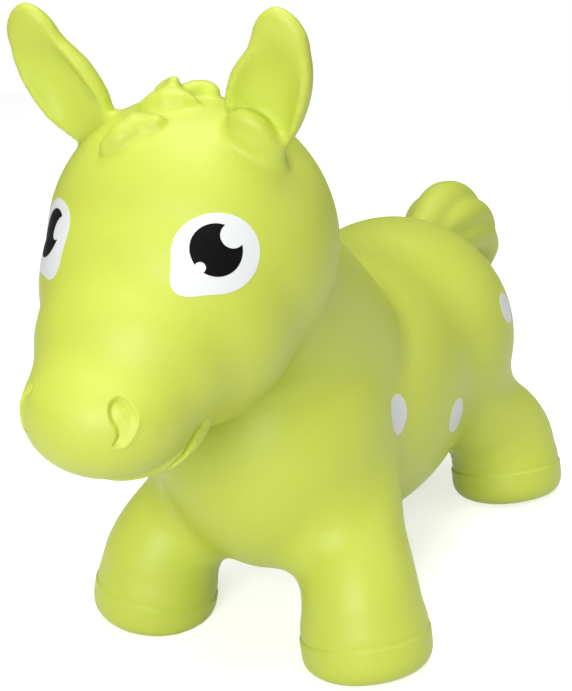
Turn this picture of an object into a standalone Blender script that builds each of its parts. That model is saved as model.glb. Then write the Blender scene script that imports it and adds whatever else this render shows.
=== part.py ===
"""Inflatable bouncy pony that a small child sits on and hops about with.

The pony faces -Y, its own left side is +X and its hooves stand on z = 0.
The real toy is one hollow moulding of soft vinyl. Here that skin is parted into the zones
that bend (legs, neck, ear roots, tail root) and the zones between them that keep their shape.
"""

import math

import bmesh
import bpy
import numpy as np
from mathutils import Matrix, Vector
from mathutils.bvhtree import BVHTree

# Skin and clearances, in metres
SKIN_WALL = 0.003
PIECE_GAP = 0.0003
PRINT_THICKNESS = 0.0005
WELD_DISTANCE = 0.00003
SCREW_WELD = 0.00005
MIRROR_WELD = 0.00001
MIDLINE_SNAP = 0.0012
CUT_WELD = 0.000003
CUTTER_LENGTH = 1.2
MIDLINE_CLEARANCE = 0.012

# Chest, the ball behind the front legs
CHEST_Y = -0.068
CHEST_BOTTOM_Z = 0.043
CHEST_HALF_WIDTH = 0.088
CHEST_HALF_LENGTH = 0.092
CHEST_HALF_HEIGHT = 0.104
CHEST_Z = CHEST_BOTTOM_Z + CHEST_HALF_HEIGHT

# Barrel, where the child sits
BARREL_Y = 0.052
BELLY_BOTTOM_Z = 0.044
BARREL_HALF_WIDTH = 0.098
BARREL_HALF_LENGTH = 0.150
BARREL_HALF_HEIGHT = 0.100
BARREL_Z = BELLY_BOTTOM_Z + BARREL_HALF_HEIGHT

# Rump
RUMP_Y = 0.144
RUMP_BOTTOM_Z = 0.049
RUMP_HALF_WIDTH = 0.102
RUMP_HALF_LENGTH = 0.098
RUMP_HALF_HEIGHT = 0.100
RUMP_Z = RUMP_BOTTOM_Z + RUMP_HALF_HEIGHT

# Neck, a short thick limb from the withers to the skull
NECK_BASE_Y = 0.01
NECK_BASE_Z = 0.145
NECK_BASE_RADIUS = 0.070
NECK_ROOT_Y = -0.028
NECK_ROOT_Z = 0.194
NECK_ROOT_RADIUS = 0.078
NECK_TOP_Y = -0.138
NECK_TOP_Z = 0.294
NECK_TOP_RADIUS = 0.074
NECK_Y = -0.098
NECK_Z = 0.2532
NECK_LENGTH = 0.030
NECK_PITCH = math.radians(34.0)

# Head
SKULL_Y = -0.16
SKULL_Z = 0.319
SKULL_HALF_WIDTH = 0.097
SKULL_HALF_LENGTH = 0.088
SKULL_HALF_HEIGHT = 0.095
CHEEK_Y = -0.193
CHEEK_Z = 0.292
CHEEK_HALF_WIDTH = 0.088
CHEEK_HALF_LENGTH = 0.072
CHEEK_HALF_HEIGHT = 0.088
BRIDGE_Y = -0.23
BRIDGE_Z = 0.272
BRIDGE_HALF_WIDTH = 0.068
BRIDGE_HALF_LENGTH = 0.062
BRIDGE_HALF_HEIGHT = 0.062
MUZZLE_Y = -0.266
MUZZLE_Z = 0.246
MUZZLE_HALF_WIDTH = 0.055
MUZZLE_HALF_LENGTH = 0.055
MUZZLE_HALF_HEIGHT = 0.043

# Lower lip, a roll under the mouth from one corner to the other
LIP_CORNER = (0.0485, -0.232, 0.2345)
LIP_SIDE = (0.0425, -0.253, 0.2235)
LIP_BEND = (0.033, -0.271, 0.2145)
LIP_FRONT = (0, -0.281, 0.2085)
LIP_RADIUS = 0.0062
LIP_SHARES = (0.35, 1.0, 1.0, 0.9)

# Legs. Each is a tapered limb that ends in a hoof turned about a leaning axis
FOOT_X = 0.093
FRONT_FOOT_Y = -0.116
REAR_FOOT_X = 0.088
REAR_FOOT_Y = 0.184
HIP_X = 0.044
FRONT_HIP_Y = -0.054
REAR_HIP_Y = 0.124
HIP_Z = 0.129
HIP_RADIUS = 0.046
SHANK_Z = 0.060
SHANK_RADIUS = 0.0445
HOOF_RADIUS = 0.0465
HOOF_HEIGHT = 0.036
HOOF_ROUNDING = 0.013
HOOF_STEP = 0.0008
HOOF_MARGIN = 0.014
HOOF_ARC_STEPS = 6
HOOF_LEAN_OUT = math.radians(10.0)
HOOF_TOE_UP = math.radians(9.0)
SOLE_SINK = 0.004
HOOF_LINE = 0.034
LEG_ZONE_LENGTH = 0.085
LEG_CUT_X = 0.047
LEG_CUT_Z = 0.049
LEG_CUT_RISE = math.radians(17.0)

# Ears
EAR_ROOT_X = 0.057
EAR_ROOT_Y = -0.168
EAR_ROOT_Z = 0.382
EAR_TIP_X = 0.098
EAR_TIP_Y = -0.191
EAR_TIP_Z = 0.4755
EAR_HALF_WIDTH = 0.0245
EAR_HALF_THICKNESS = 0.012
EAR_SCOOP_DEPTH = 0.010
EAR_ROOT_LENGTH = 0.014
EAR_CUT_RISE = 0.030
EAR_INNER_X = 0.030
EAR_TURN = math.radians(4.0)
EAR_CUP = 0.004
EAR_BEND = 0.004
EAR_TAPER_SHARE = 0.12
EAR_BULGE_SHARE = 0.08
EAR_BULGE_PLACE_SHARE = -0.15
EAR_BULGE_SPREAD_SHARE = 0.4
EAR_THINNING_SHARE = 0.25
EAR_SCOOP_WIDTH_SHARE = 0.85
EAR_SCOOP_LENGTH_SHARE = 0.9
EAR_SCOOP_PLACE_SHARE = -0.05
EAR_FOOT_RADIUS = 0.007
EAR_FOOT_HALF_LENGTH = 0.018
EAR_FOOT_FORWARD = 0.014
EAR_FOOT_RISE = 0.012

# Forelock, three locks over the poll
LOCK_1_Y = -0.213
LOCK_1_Z = 0.399
LOCK_2_Y = -0.178
LOCK_2_Z = 0.414
LOCK_3_Y = -0.143
LOCK_3_Z = 0.405
LOCK_HALF_LENGTH = 0.017
LOCK_RADIUS = 0.0145
LOCK_SWING = 0.016
LOCK_SLOPE_SHARES = (0.75, 0.25, -0.2)
LOCK_START_SHARE = 0.25
LOCK_END_SHARE = 0.45

# Tail
TAIL_ROOT_Y = 0.204
TAIL_ROOT_Z = 0.222
TAIL_CROWN_Y = 0.258
TAIL_CROWN_Z = 0.233
TAIL_BACK_Y = 0.303
TAIL_BACK_Z = 0.210
TAIL_TIP_Y = 0.305
TAIL_TIP_Z = 0.165
TAIL_STRAND_RADIUS = 0.020
TAIL_PAIR_SPREAD = 0.018
TAIL_PAIR_DROP = 0.010
TAIL_LOW_PAIR_SPREAD = 0.025
TAIL_LOW_PAIR_DROP = 0.027
TAIL_CUT_Y = 0.235
TAIL_CUT_Z = 0.236
TAIL_CUT_PITCH = math.radians(25.0)
TAIL_ROOT_LENGTH = 0.012
TAIL_PIVOT_DROP = 0.0096
TAIL_PAIR_SHARE = 0.85
TAIL_LOW_PAIR_SHARE = 0.75
TAIL_GATHER_SHARES = (0.4, 1.0, 1.0, 0.5)
TAIL_DROP_SHARES = (1.0, 1.0, 1.0, 0.5)
TAIL_RADIUS_SHARES = (0.7, 1.0, 0.95, 0.5)

# Eyes. Turn is how far the eye looks outwards from straight ahead, tilt how far up
EYE_X = 0.061
EYE_Y = -0.2315
EYE_Z = 0.3395
EYE_TURN = math.radians(51.0)
EYE_TILT = math.radians(17.0)
EYE_WIDTH = 0.050
EYE_HEIGHT = 0.048
PUPIL_RADIUS = 0.0158
PUPIL_RISE = 0.002
GLINT_X = 0.0113
GLINT_Y = 0.0068
GLINT_RADIUS = 0.0077
SMALL_GLINT_X = -0.0119
SMALL_GLINT_Y = -0.0085
SMALL_GLINT_RADIUS = 0.0034
PRINT_PRISM_HALF_DEPTH = 0.022
EYE_CORNER_DROP = math.radians(36.0)
EYE_CORNER_SHARE = 0.32
EYE_CORNER_WIDTH = math.radians(22.0)

# Spots on each flank, from the shoulder back
SPOT_1_Y = -0.028
SPOT_1_Z = 0.155
SPOT_1_RADIUS = 0.015
SPOT_2_Y = 0.066
SPOT_2_Z = 0.119
SPOT_2_RADIUS = 0.0135
SPOT_3_Y = 0.144
SPOT_3_Z = 0.183
SPOT_3_RADIUS = 0.0125

SPOTS = (
    (SPOT_1_Y, SPOT_1_Z, SPOT_1_RADIUS),
    (SPOT_2_Y, SPOT_2_Z, SPOT_2_RADIUS),
    (SPOT_3_Y, SPOT_3_Z, SPOT_3_RADIUS),
)

# Nostrils and mouth, moulded into the muzzle
NOSTRIL_TOP = (0.033, -0.3, 0.269)
NOSTRIL_MIDDLE = (0.034, -0.306, 0.257)
NOSTRIL_TAIL = (0.03, -0.311, 0.24)
NOSTRIL_RADIUS = 0.0066
NOSTRIL_DEPTH = 0.0021
NOSTRIL_SHARES = (0.75, 1.0, 0.6)
MOUTH_CORNER = (0.051, -0.243, 0.2335)
MOUTH_SIDE = (0.0435, -0.264, 0.2185)
MOUTH_BEND = (0.031, -0.2805, 0.209)
MOUTH_FRONT = (0, -0.293, 0.2045)
MOUTH_RADIUS = 0.0028
MOUTH_DEPTH = 0.0017
MOUTH_STEPS = 3
BLUNT_END_SHARE = 0.4

# Air valve under the belly: a seat pushed through the skin and a tapered plug in it
VALVE_Y = 0.052
SEAT_FLANGE_RADIUS = 0.013
SEAT_FLANGE_THICKNESS = 0.0016
SEAT_BARREL_RADIUS = 0.0085
SEAT_LIP_RADIUS = 0.0105
SEAT_LIP_HEIGHT = 0.0065
SEAT_HEIGHT = 0.010
BORE_MOUTH_RADIUS = 0.0052
BORE_END_RADIUS = 0.0042
PLUG_LENGTH = 0.008
PLUG_HEAD_RADIUS = 0.009
PLUG_HEAD_THICKNESS = 0.0024
PLUG_CLEARANCE = 0.0003
VALVE_STEPS = 24

# Surface meshes
BODY_VOXEL = 0.004
DETAIL_VOXEL = 0.003
SKIN_TRIANGLES = 6000
CAVITY_TRIANGLES = 1500
BODY_FILL_PASSES = 80
HEAD_FILL_PASSES = 70
THROAT_FILL_PASSES = 35
DETAIL_FILL_PASSES = 6
SLIDE_SHARE = 0.5
PUSH_SHARE = 0.8
SHARP_ANGLE = math.radians(40.0)
ROUND_STEPS = 8

COLOURS = {
    "vinyl": (0.62, 0.74, 0.10, 1.0),
    "white": (0.90, 0.90, 0.90, 1.0),
    "black": (0.01, 0.01, 0.01, 1.0),
}


def clear_scene():
    """Remove whatever the scene holds."""
    for item in list(bpy.data.objects):
        bpy.data.objects.remove(item, do_unlink=True)


def new_collection(name):
    """A collection linked to the scene."""
    made = bpy.data.collections.new(name)
    bpy.context.scene.collection.children.link(made)
    return made


def material(name, colour, roughness):
    """A Principled material with one colour."""
    made = bpy.data.materials.new(name)
    made.use_nodes = True
    shader = made.node_tree.nodes["Principled BSDF"]
    shader.inputs["Base Color"].default_value = colour
    shader.inputs["Roughness"].default_value = roughness
    shader.inputs["Metallic"].default_value = 0.0
    return made


def apply_modifiers(item):
    """Replace an object's mesh by the evaluated one."""
    graph = bpy.context.evaluated_depsgraph_get()
    mesh = bpy.data.meshes.new_from_object(item.evaluated_get(graph))
    item.modifiers.clear()
    item.data = mesh
    return item


def ball(name, centre, radii, pitch=0.0):
    """An ellipsoid: a unit sphere scaled to three radii and pitched about X."""
    bpy.ops.mesh.primitive_uv_sphere_add(segments=48, ring_count=24, radius=1)
    item = bpy.context.object
    item.name = name
    turn = Matrix.Rotation(pitch, 4, "X") @ Matrix.Diagonal((*radii, 1))
    item.data.transform(Matrix.Translation(centre) @ turn)
    return item


def limb(name, stations, rings=12, fineness=8):
    """A round limb through (point, radius) stations, smooth along its length."""
    curve = bpy.data.curves.new(name, "CURVE")
    curve.dimensions = "3D"
    curve.bevel_depth = 1
    curve.bevel_resolution = fineness
    curve.use_fill_caps = True
    curve.resolution_u = rings
    spline = curve.splines.new("BEZIER")
    spline.bezier_points.add(len(stations) - 1)
    for knot, (point, radius) in zip(spline.bezier_points, stations):
        knot.co = point
        knot.radius = radius
        knot.handle_left_type = "AUTO"
        knot.handle_right_type = "AUTO"
    guide = bpy.data.objects.new(name + "_guide", curve)
    bpy.context.scene.collection.objects.link(guide)
    bpy.context.view_layer.update()
    graph = bpy.context.evaluated_depsgraph_get()
    mesh = bpy.data.meshes.new_from_object(guide.evaluated_get(graph))
    weld_caps(mesh)
    item = bpy.data.objects.new(name, mesh)
    bpy.context.scene.collection.objects.link(item)
    bpy.data.objects.remove(guide, do_unlink=True)
    return item


def weld_caps(mesh):
    """Join a curve's loose caps to its sides and face everything outwards."""
    edit = bmesh.new()
    edit.from_mesh(mesh)
    bmesh.ops.remove_doubles(edit, verts=edit.verts, dist=WELD_DISTANCE)
    bmesh.ops.recalc_face_normals(edit, faces=edit.faces)
    edit.to_mesh(mesh)
    edit.free()


def turned(name, profile, steps=48, ring=False):
    """A solid of revolution about Z from (radius, height) points, top to bottom.

    A ring's profile closes on itself, and any other starts and ends on the axis.
    """
    mesh = bpy.data.meshes.new(name)
    points = [(radius, 0, height) for radius, height in profile]
    edges = [(i, (i + 1) % len(points)) for i in range(len(points) - (not ring))]
    mesh.from_pydata(points, edges, [])
    item = bpy.data.objects.new(name, mesh)
    bpy.context.scene.collection.objects.link(item)
    screw = item.modifiers.new("turn", "SCREW")
    screw.steps = steps
    screw.render_steps = steps
    screw.use_merge_vertices = True
    screw.merge_threshold = SCREW_WELD
    return apply_modifiers(item)


def numpy_mesh(mesh):
    """Points and triangles of a mesh."""
    points = np.empty(len(mesh.vertices) * 3, np.float64)
    mesh.vertices.foreach_get("co", points)
    mesh.calc_loop_triangles()
    faces = np.empty(len(mesh.loop_triangles) * 3, np.int64)
    mesh.loop_triangles.foreach_get("vertices", faces)
    return points.reshape(-1, 3), faces.reshape(-1, 3)


def vertex_normals(points, faces):
    """Area-weighted unit normals."""
    corner = points[faces]
    cross = np.cross(corner[:, 1] - corner[:, 0], corner[:, 2] - corner[:, 0])
    normals = np.zeros_like(points)
    for k in range(3):
        for axis in range(3):
            normals[:, axis] += np.bincount(faces[:, k], cross[:, axis], len(points))
    return normals / np.maximum(np.linalg.norm(normals, axis=1), 1e-12)[:, None]


def fill_creases(mesh, passes, pull_in=0.0):
    """Round the inner corners of a mesh: only points whose neighbours lie outwards move.

    pull_in is the share of the same move that outward corners get.
    """
    points, faces = numpy_mesh(mesh)
    ends = np.empty(len(mesh.edges) * 2, np.int64)
    mesh.edges.foreach_get("vertices", ends)
    ends = ends.reshape(-1, 2)
    count = np.bincount(ends.ravel(), minlength=len(points)).astype(float)
    for _ in range(passes):
        normals = vertex_normals(points, faces)
        total = np.zeros_like(points)
        for axis in range(3):
            total[:, axis] += np.bincount(ends[:, 0], points[ends[:, 1], axis], len(points))
            total[:, axis] += np.bincount(ends[:, 1], points[ends[:, 0], axis], len(points))
        lean = total / count[:, None] - points
        outward = (lean * normals).sum(1)
        slide = lean - outward[:, None] * normals
        push = np.where(outward > 0, outward, outward * pull_in)
        points += SLIDE_SHARE * slide + PUSH_SHARE * push[:, None] * normals
    mesh.vertices.foreach_set("co", points.ravel())
    mesh.update()


def merge_forms(name, forms, voxel, passes, pull_in=0.0):
    """One closed surface over overlapping forms, with its inner corners rounded."""
    bpy.ops.object.select_all(action="DESELECT")
    for form in forms:
        form.select_set(True)
    bpy.context.view_layer.objects.active = forms[0]
    bpy.ops.object.join()
    item = bpy.context.object
    item.name = name
    remesh = item.modifiers.new("one_surface", "REMESH")
    remesh.mode = "VOXEL"
    remesh.voxel_size = voxel
    apply_modifiers(item)
    fill_creases(item.data, passes, pull_in)
    return item


def leg_forms(side, foot_x, foot_y, hip_y, label):
    """A tapered limb and its hoof, for one corner of the pony. side is 1 or -1."""
    toe = -HOOF_TOE_UP
    lean = Matrix.Rotation(side * -HOOF_LEAN_OUT, 4, "Y") @ Matrix.Rotation(toe, 4, "X")
    foot = Vector((side * foot_x, foot_y, 0))
    flat = HOOF_RADIUS - HOOF_ROUNDING
    arc = []
    for i in range(HOOF_ARC_STEPS + 1):
        angle = math.pi / 2 * i / HOOF_ARC_STEPS
        arc.append((flat + HOOF_ROUNDING * math.cos(angle), HOOF_ROUNDING * (1 - math.sin(angle))))
    profile = [(0, SHANK_Z), (SHANK_RADIUS, SHANK_Z), (HOOF_RADIUS, HOOF_HEIGHT), *arc, (0, 0)]
    hoof = turned(label + "_hoof_form", profile)
    hoof.data.transform(Matrix.Translation(foot - Vector((0, 0, SOLE_SINK))) @ lean)
    hip = Vector((side * HIP_X, hip_y, HIP_Z))
    shank = foot + lean @ Vector((0, 0, SHANK_Z))
    ankle = foot + lean @ Vector((0, 0, HOOF_HEIGHT))
    shaft = limb(label + "_shaft_form", [(hip, HIP_RADIUS), (shank, SHANK_RADIUS), (ankle, SHANK_RADIUS)])
    return [hoof, shaft]


def body_form():
    """Chest, barrel, rump and four legs as one soft form."""
    forms = [
        ball("chest", (0, CHEST_Y, CHEST_Z), (CHEST_HALF_WIDTH, CHEST_HALF_LENGTH, CHEST_HALF_HEIGHT)),
        ball("barrel", (0, BARREL_Y, BARREL_Z), (BARREL_HALF_WIDTH, BARREL_HALF_LENGTH, BARREL_HALF_HEIGHT)),
        ball("rump", (0, RUMP_Y, RUMP_Z), (RUMP_HALF_WIDTH, RUMP_HALF_LENGTH, RUMP_HALF_HEIGHT)),
    ]
    for side in (1, -1):
        forms += leg_forms(side, FOOT_X, FRONT_FOOT_Y, FRONT_HIP_Y, f"front_{side}")
        forms += leg_forms(side, REAR_FOOT_X, REAR_FOOT_Y, REAR_HIP_Y, f"rear_{side}")
    return merge_forms("body_form", forms, BODY_VOXEL, BODY_FILL_PASSES)


def neck_form():
    """A short thick limb from the withers up into the skull."""
    base = Vector((0, NECK_BASE_Y, NECK_BASE_Z))
    root = Vector((0, NECK_ROOT_Y, NECK_ROOT_Z))
    top = Vector((0, NECK_TOP_Y, NECK_TOP_Z))
    stations = [(base, NECK_BASE_RADIUS), (root, NECK_ROOT_RADIUS), (top, NECK_TOP_RADIUS)]
    return limb("neck", stations, fineness=16)


def head_form():
    """Skull, face and muzzle as one egg that narrows to the nose."""
    forms = [
        ball("skull", (0, SKULL_Y, SKULL_Z), (SKULL_HALF_WIDTH, SKULL_HALF_LENGTH, SKULL_HALF_HEIGHT)),
        ball("face", (0, CHEEK_Y, CHEEK_Z), (CHEEK_HALF_WIDTH, CHEEK_HALF_LENGTH, CHEEK_HALF_HEIGHT)),
        ball("bridge", (0, BRIDGE_Y, BRIDGE_Z), (BRIDGE_HALF_WIDTH, BRIDGE_HALF_LENGTH, BRIDGE_HALF_HEIGHT)),
        ball("muzzle", (0, MUZZLE_Y, MUZZLE_Z), (MUZZLE_HALF_WIDTH, MUZZLE_HALF_LENGTH, MUZZLE_HALF_HEIGHT)),
    ]
    return merge_forms("head_form", forms, BODY_VOXEL, HEAD_FILL_PASSES)


def lip_form():
    """The lower lip: a roll that runs in to a point at each corner of the mouth."""
    knots = list(zip((LIP_CORNER, LIP_SIDE, LIP_BEND, LIP_FRONT), LIP_SHARES))
    stations = [(mirrored(point, -1), LIP_RADIUS * share) for point, share in knots]
    stations += [(Vector(point), LIP_RADIUS * share) for point, share in reversed(knots[:-1])]
    return limb("lower_lip", stations)


def ear_form(side):
    """A spoon-shaped leaf: broad low down, hollowed in front, with thick rims and a folded foot."""
    root = Vector((side * EAR_ROOT_X, EAR_ROOT_Y, EAR_ROOT_Z))
    tip = Vector((side * EAR_TIP_X, EAR_TIP_Y, EAR_TIP_Z))
    axis = (tip - root).normalized()
    half = (tip - root).length / 2
    front = Vector((side * math.sin(EAR_TURN), -math.cos(EAR_TURN), 0))
    front = (front - axis * front.dot(axis)).normalized()
    outer = axis.cross(front) * side
    leaf = ball("ear", (0, 0, 0), (1, 1, 1))
    for vertex in leaf.data.vertices:
        across, deep, high = vertex.co
        width = EAR_HALF_WIDTH * (1 - EAR_TAPER_SHARE * high)
        inner_bulge = 0.0
        if across < 0:
            from_bulge = (high - EAR_BULGE_PLACE_SHARE) / EAR_BULGE_SPREAD_SHARE
            inner_bulge = EAR_BULGE_SHARE * math.exp(-(from_bulge**2))
        over_width = across / EAR_SCOOP_WIDTH_SHARE
        over_length = (high - EAR_SCOOP_PLACE_SHARE) / EAR_SCOOP_LENGTH_SHARE
        hollow = max(0.0, 1 - over_width**2) * max(0.0, 1 - over_length**2)
        thickness = EAR_HALF_THICKNESS * (1 - EAR_THINNING_SHARE * high)
        forward = thickness * deep + EAR_CUP * across**2
        if deep > 0:
            forward -= EAR_SCOOP_DEPTH * hollow * math.sqrt(deep)
        sideways = width * across * (1 + inner_bulge)
        bend = EAR_BEND * high**2
        place = (root + tip) / 2 + axis * (half * high) + front * (forward + bend) + outer * sideways
        vertex.co = place
    weld_caps(leaf.data)
    foot = ball("ear_foot", (0, 0, 0), (EAR_FOOT_RADIUS, EAR_FOOT_RADIUS, EAR_FOOT_HALF_LENGTH))
    along = (outer * EAR_HALF_WIDTH - axis * EAR_HALF_WIDTH).normalized()
    place = root + front * EAR_FOOT_FORWARD + axis * EAR_FOOT_RISE
    foot.data.transform(Matrix.Translation(place) @ along.to_track_quat("Z", "Y").to_matrix().to_4x4())
    return [leaf, foot]


def tuft_form(label, start, end, radius, x):
    """One lock of the forelock: a fat drop on the midline that ends in a point to one side."""
    middle = (Vector(start) + Vector(end)) / 2
    return limb(label, [
        (Vector(start) + Vector((x, 0, 0)), radius * LOCK_START_SHARE),
        (middle, radius),
        (Vector(end) - Vector((x, 0, 0)), radius * LOCK_END_SHARE),
    ])


def forelock_forms():
    """Three locks one behind the other over the poll."""
    forms = []
    for i, (y, z) in enumerate(((LOCK_1_Y, LOCK_1_Z), (LOCK_2_Y, LOCK_2_Z), (LOCK_3_Y, LOCK_3_Z))):
        slope = LOCK_HALF_LENGTH * LOCK_SLOPE_SHARES[i]
        start = (0, y - LOCK_HALF_LENGTH, z - slope)
        end = (0, y + LOCK_HALF_LENGTH, z + slope)
        forms.append(tuft_form(f"lock_{i}", start, end, LOCK_RADIUS, -LOCK_SWING))
    return forms


def tail_forms():
    """Plaited tail: a middle strand over two pairs of side strands, curling up, back and down."""
    forms = []
    places = (
        (TAIL_ROOT_Y, TAIL_ROOT_Z),
        (TAIL_CROWN_Y, TAIL_CROWN_Z),
        (TAIL_BACK_Y, TAIL_BACK_Z),
        (TAIL_TIP_Y, TAIL_TIP_Z),
    )
    for side, spread, drop, share in (
        (0, 0, 0, 1),
        (1, TAIL_PAIR_SPREAD, TAIL_PAIR_DROP, TAIL_PAIR_SHARE),
        (-1, TAIL_PAIR_SPREAD, TAIL_PAIR_DROP, TAIL_PAIR_SHARE),
        (1, TAIL_LOW_PAIR_SPREAD, TAIL_LOW_PAIR_DROP, TAIL_LOW_PAIR_SHARE),
        (-1, TAIL_LOW_PAIR_SPREAD, TAIL_LOW_PAIR_DROP, TAIL_LOW_PAIR_SHARE),
    ):
        stations = []
        shares = zip(TAIL_GATHER_SHARES, TAIL_DROP_SHARES, TAIL_RADIUS_SHARES)
        for (y, z), (gather, lower, swell) in zip(places, shares):
            place = (side * spread * gather, y, z - drop * lower)
            stations.append((place, TAIL_STRAND_RADIUS * share * swell))
        forms.append(limb("strand", stations))
    return forms


def cut_flat(item, point, normal):
    """Keep the part of a closed mesh on the side its normal points away from, and close the cut."""
    edit = bmesh.new()
    edit.from_mesh(item.data)
    everything = [*edit.verts, *edit.edges, *edit.faces]
    cut = bmesh.ops.bisect_plane(
        edit, geom=everything, plane_co=point, plane_no=normal, clear_outer=True, dist=CUT_WELD
    )
    rim = [edge for edge in cut["geom_cut"] if isinstance(edge, bmesh.types.BMEdge)]
    bmesh.ops.holes_fill(edit, edges=rim)
    bmesh.ops.recalc_face_normals(edit, faces=edit.faces)
    edit.to_mesh(item.data)
    edit.free()
    item.data.update()


def mirror_half(item):
    """Make the two sides alike: the half at +X is kept and mirrored."""
    edit = bmesh.new()
    edit.from_mesh(item.data)
    everything = [*edit.verts, *edit.edges, *edit.faces]
    bmesh.ops.bisect_plane(
        edit, geom=everything, plane_co=(0, 0, 0), plane_no=(-1, 0, 0),
        clear_outer=True, use_snap_center=True, dist=MIDLINE_SNAP,
    )
    flat = [face for face in edit.faces if all(abs(vert.co.x) < MIRROR_WELD for vert in face.verts)]
    bmesh.ops.delete(edit, geom=flat, context="FACES")
    edit.to_mesh(item.data)
    edit.free()
    mirror = item.modifiers.new("two_sides", "MIRROR")
    mirror.merge_threshold = MIRROR_WELD
    return apply_modifiers(item)


def thin_out(item, triangles):
    """Lower a mesh to about this many triangles."""
    _, faces = numpy_mesh(item.data)
    fewer = item.modifiers.new("fewer_faces", "DECIMATE")
    fewer.ratio = triangles / len(faces)
    return apply_modifiers(item)


def grown(item, name, by):
    """A copy of a closed mesh whose points are moved out along their normals."""
    copy = item.copy()
    copy.data = item.data.copy()
    copy.name = name
    bpy.context.scene.collection.objects.link(copy)
    points, faces = numpy_mesh(copy.data)
    points += by * vertex_normals(points, faces)
    copy.data.vertices.foreach_set("co", points.ravel())
    copy.data.update()
    return copy


def region(name, planes):
    """A convex helper solid: the side of each (point, normal) plane that its normal points to."""
    bpy.ops.mesh.primitive_cube_add(size=CUTTER_LENGTH)
    item = bpy.context.object
    item.name = name
    for point, normal in planes:
        cut_flat(item, point, -Vector(normal))
    return item


def boolean(item, other, operation):
    """Apply one exact Boolean."""
    step = item.modifiers.new(operation.lower(), "BOOLEAN")
    step.operation = operation
    step.object = other
    return apply_modifiers(item)


def put_away(item):
    """Move a helper among the cutters, where no render shows it."""
    for collection in list(item.users_collection):
        collection.objects.unlink(item)
    bpy.data.collections["cutters"].objects.link(item)
    item.hide_render = True
    item.display_type = "WIRE"


def piece(name, source, cuts, origin=(0, 0, 0)):
    """A named part: a copy of a source solid, cut by (operation, helper) steps in turn."""
    item = source.copy()
    item.data = source.data.copy()
    item.name = name
    item.data.name = name
    bpy.data.collections["bouncy_pony"].objects.link(item)
    for operation, helper in cuts:
        boolean(item, helper, operation)
    finish(item, origin)
    return item


def finish(item, origin, paint="vinyl"):
    """Material, smooth shading and origin of a finished part."""
    item.data.materials.clear()
    item.data.materials.append(bpy.data.materials[paint])
    item.data.shade_smooth()
    item.data.set_sharp_from_angle(angle=SHARP_ANGLE)
    item.data.transform(Matrix.Translation(-Vector(origin)))
    item.location = origin


def surface(item):
    """A search tree over a mesh, for seating things on it."""
    points, faces = numpy_mesh(item.data)
    return BVHTree.FromPolygons([Vector(point) for point in points], faces.tolist())


def frame_on(tree, start, out):
    """A frame on the skin nearest to a point: Z along the given way out, Y up along the skin."""
    place = tree.find_nearest(Vector(start))[0]
    side = Vector((0, 0, 1)).cross(out).normalized()
    frame = Matrix((side, out.cross(side), out)).transposed().to_4x4()
    frame.translation = place
    return frame


def way_out(tree, start, spread):
    """The skin's outward direction near a point, averaged over a patch of this radius."""
    total = Vector((0, 0, 0))
    for i in range(ROUND_STEPS):
        angle = 2 * math.pi * i / ROUND_STEPS
        near = Vector(start) + spread * Vector((0, math.cos(angle), math.sin(angle)))
        total += tree.find_nearest(near)[1]
    return total.normalized()


def prism(name, outline, frame, half_depth):
    """A straight-sided helper with the given outline, square to the frame's XY plane."""
    curve = bpy.data.curves.new(name, "CURVE")
    curve.dimensions = "2D"
    curve.fill_mode = "BOTH"
    curve.extrude = half_depth
    spline = curve.splines.new("POLY")
    spline.points.add(len(outline) - 1)
    for knot, (x, y) in zip(spline.points, outline):
        knot.co = (x, y, 0, 1)
    spline.use_cyclic_u = True
    guide = bpy.data.objects.new(name + "_outline", curve)
    bpy.context.scene.collection.objects.link(guide)
    bpy.context.view_layer.update()
    graph = bpy.context.evaluated_depsgraph_get()
    mesh = bpy.data.meshes.new_from_object(guide.evaluated_get(graph))
    weld_caps(mesh)
    mesh.transform(frame)
    item = bpy.data.objects.new(name, mesh)
    bpy.context.scene.collection.objects.link(item)
    bpy.data.objects.remove(guide, do_unlink=True)
    return item


def ellipse(width, height, x=0.0, y=0.0, steps=22):
    """Points round an ellipse."""
    angles = [2 * math.pi * i / steps for i in range(steps)]
    return [(x + width / 2 * math.cos(a), y + height / 2 * math.sin(a)) for a in angles]


def eye_outline(corner_side, steps=32):
    """A round eye drawn out to a soft corner, low on the side of the nose."""
    points = []
    corner = math.pi / 2 + corner_side * (math.pi / 2 + EYE_CORNER_DROP)
    for i in range(steps):
        angle = 2 * math.pi * i / steps
        away = (angle - corner + math.pi) % (2 * math.pi) - math.pi
        reach = 1 + EYE_CORNER_SHARE * math.exp(-((away / EYE_CORNER_WIDTH) ** 2))
        points.append((EYE_WIDTH / 2 * reach * math.cos(angle), EYE_HEIGHT / 2 * reach * math.sin(angle)))
    return points


def skin_forms():
    """The whole outer form, and the hollow inside it, which leaves the ears and locks solid."""
    body = body_form()
    skin = merge_forms("skin_form", [body, neck_form(), head_form()], BODY_VOXEL, THROAT_FILL_PASSES)
    inner = grown(skin, "inner", 0)
    plain = merge_forms("plain_form", [inner, *tail_forms()], BODY_VOXEL, DETAIL_FILL_PASSES)
    details = [*ear_form(1), *ear_form(-1), *forelock_forms(), *tail_forms(), lip_form()]
    outer = merge_forms("outer_form", [skin, *details], DETAIL_VOXEL, DETAIL_FILL_PASSES)
    for form, triangles in ((outer, SKIN_TRIANGLES), (plain, CAVITY_TRIANGLES)):
        thin_out(form, triangles)
        mirror_half(form)
    cut_flat(outer, (0, 0, 0), (0, 0, -1))
    hollow = grown(plain, "hollow_form", -SKIN_WALL)
    cut_flat(hollow, (0, 0, SKIN_WALL), (0, 0, -1))
    put_away(plain)
    return outer, hollow


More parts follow.
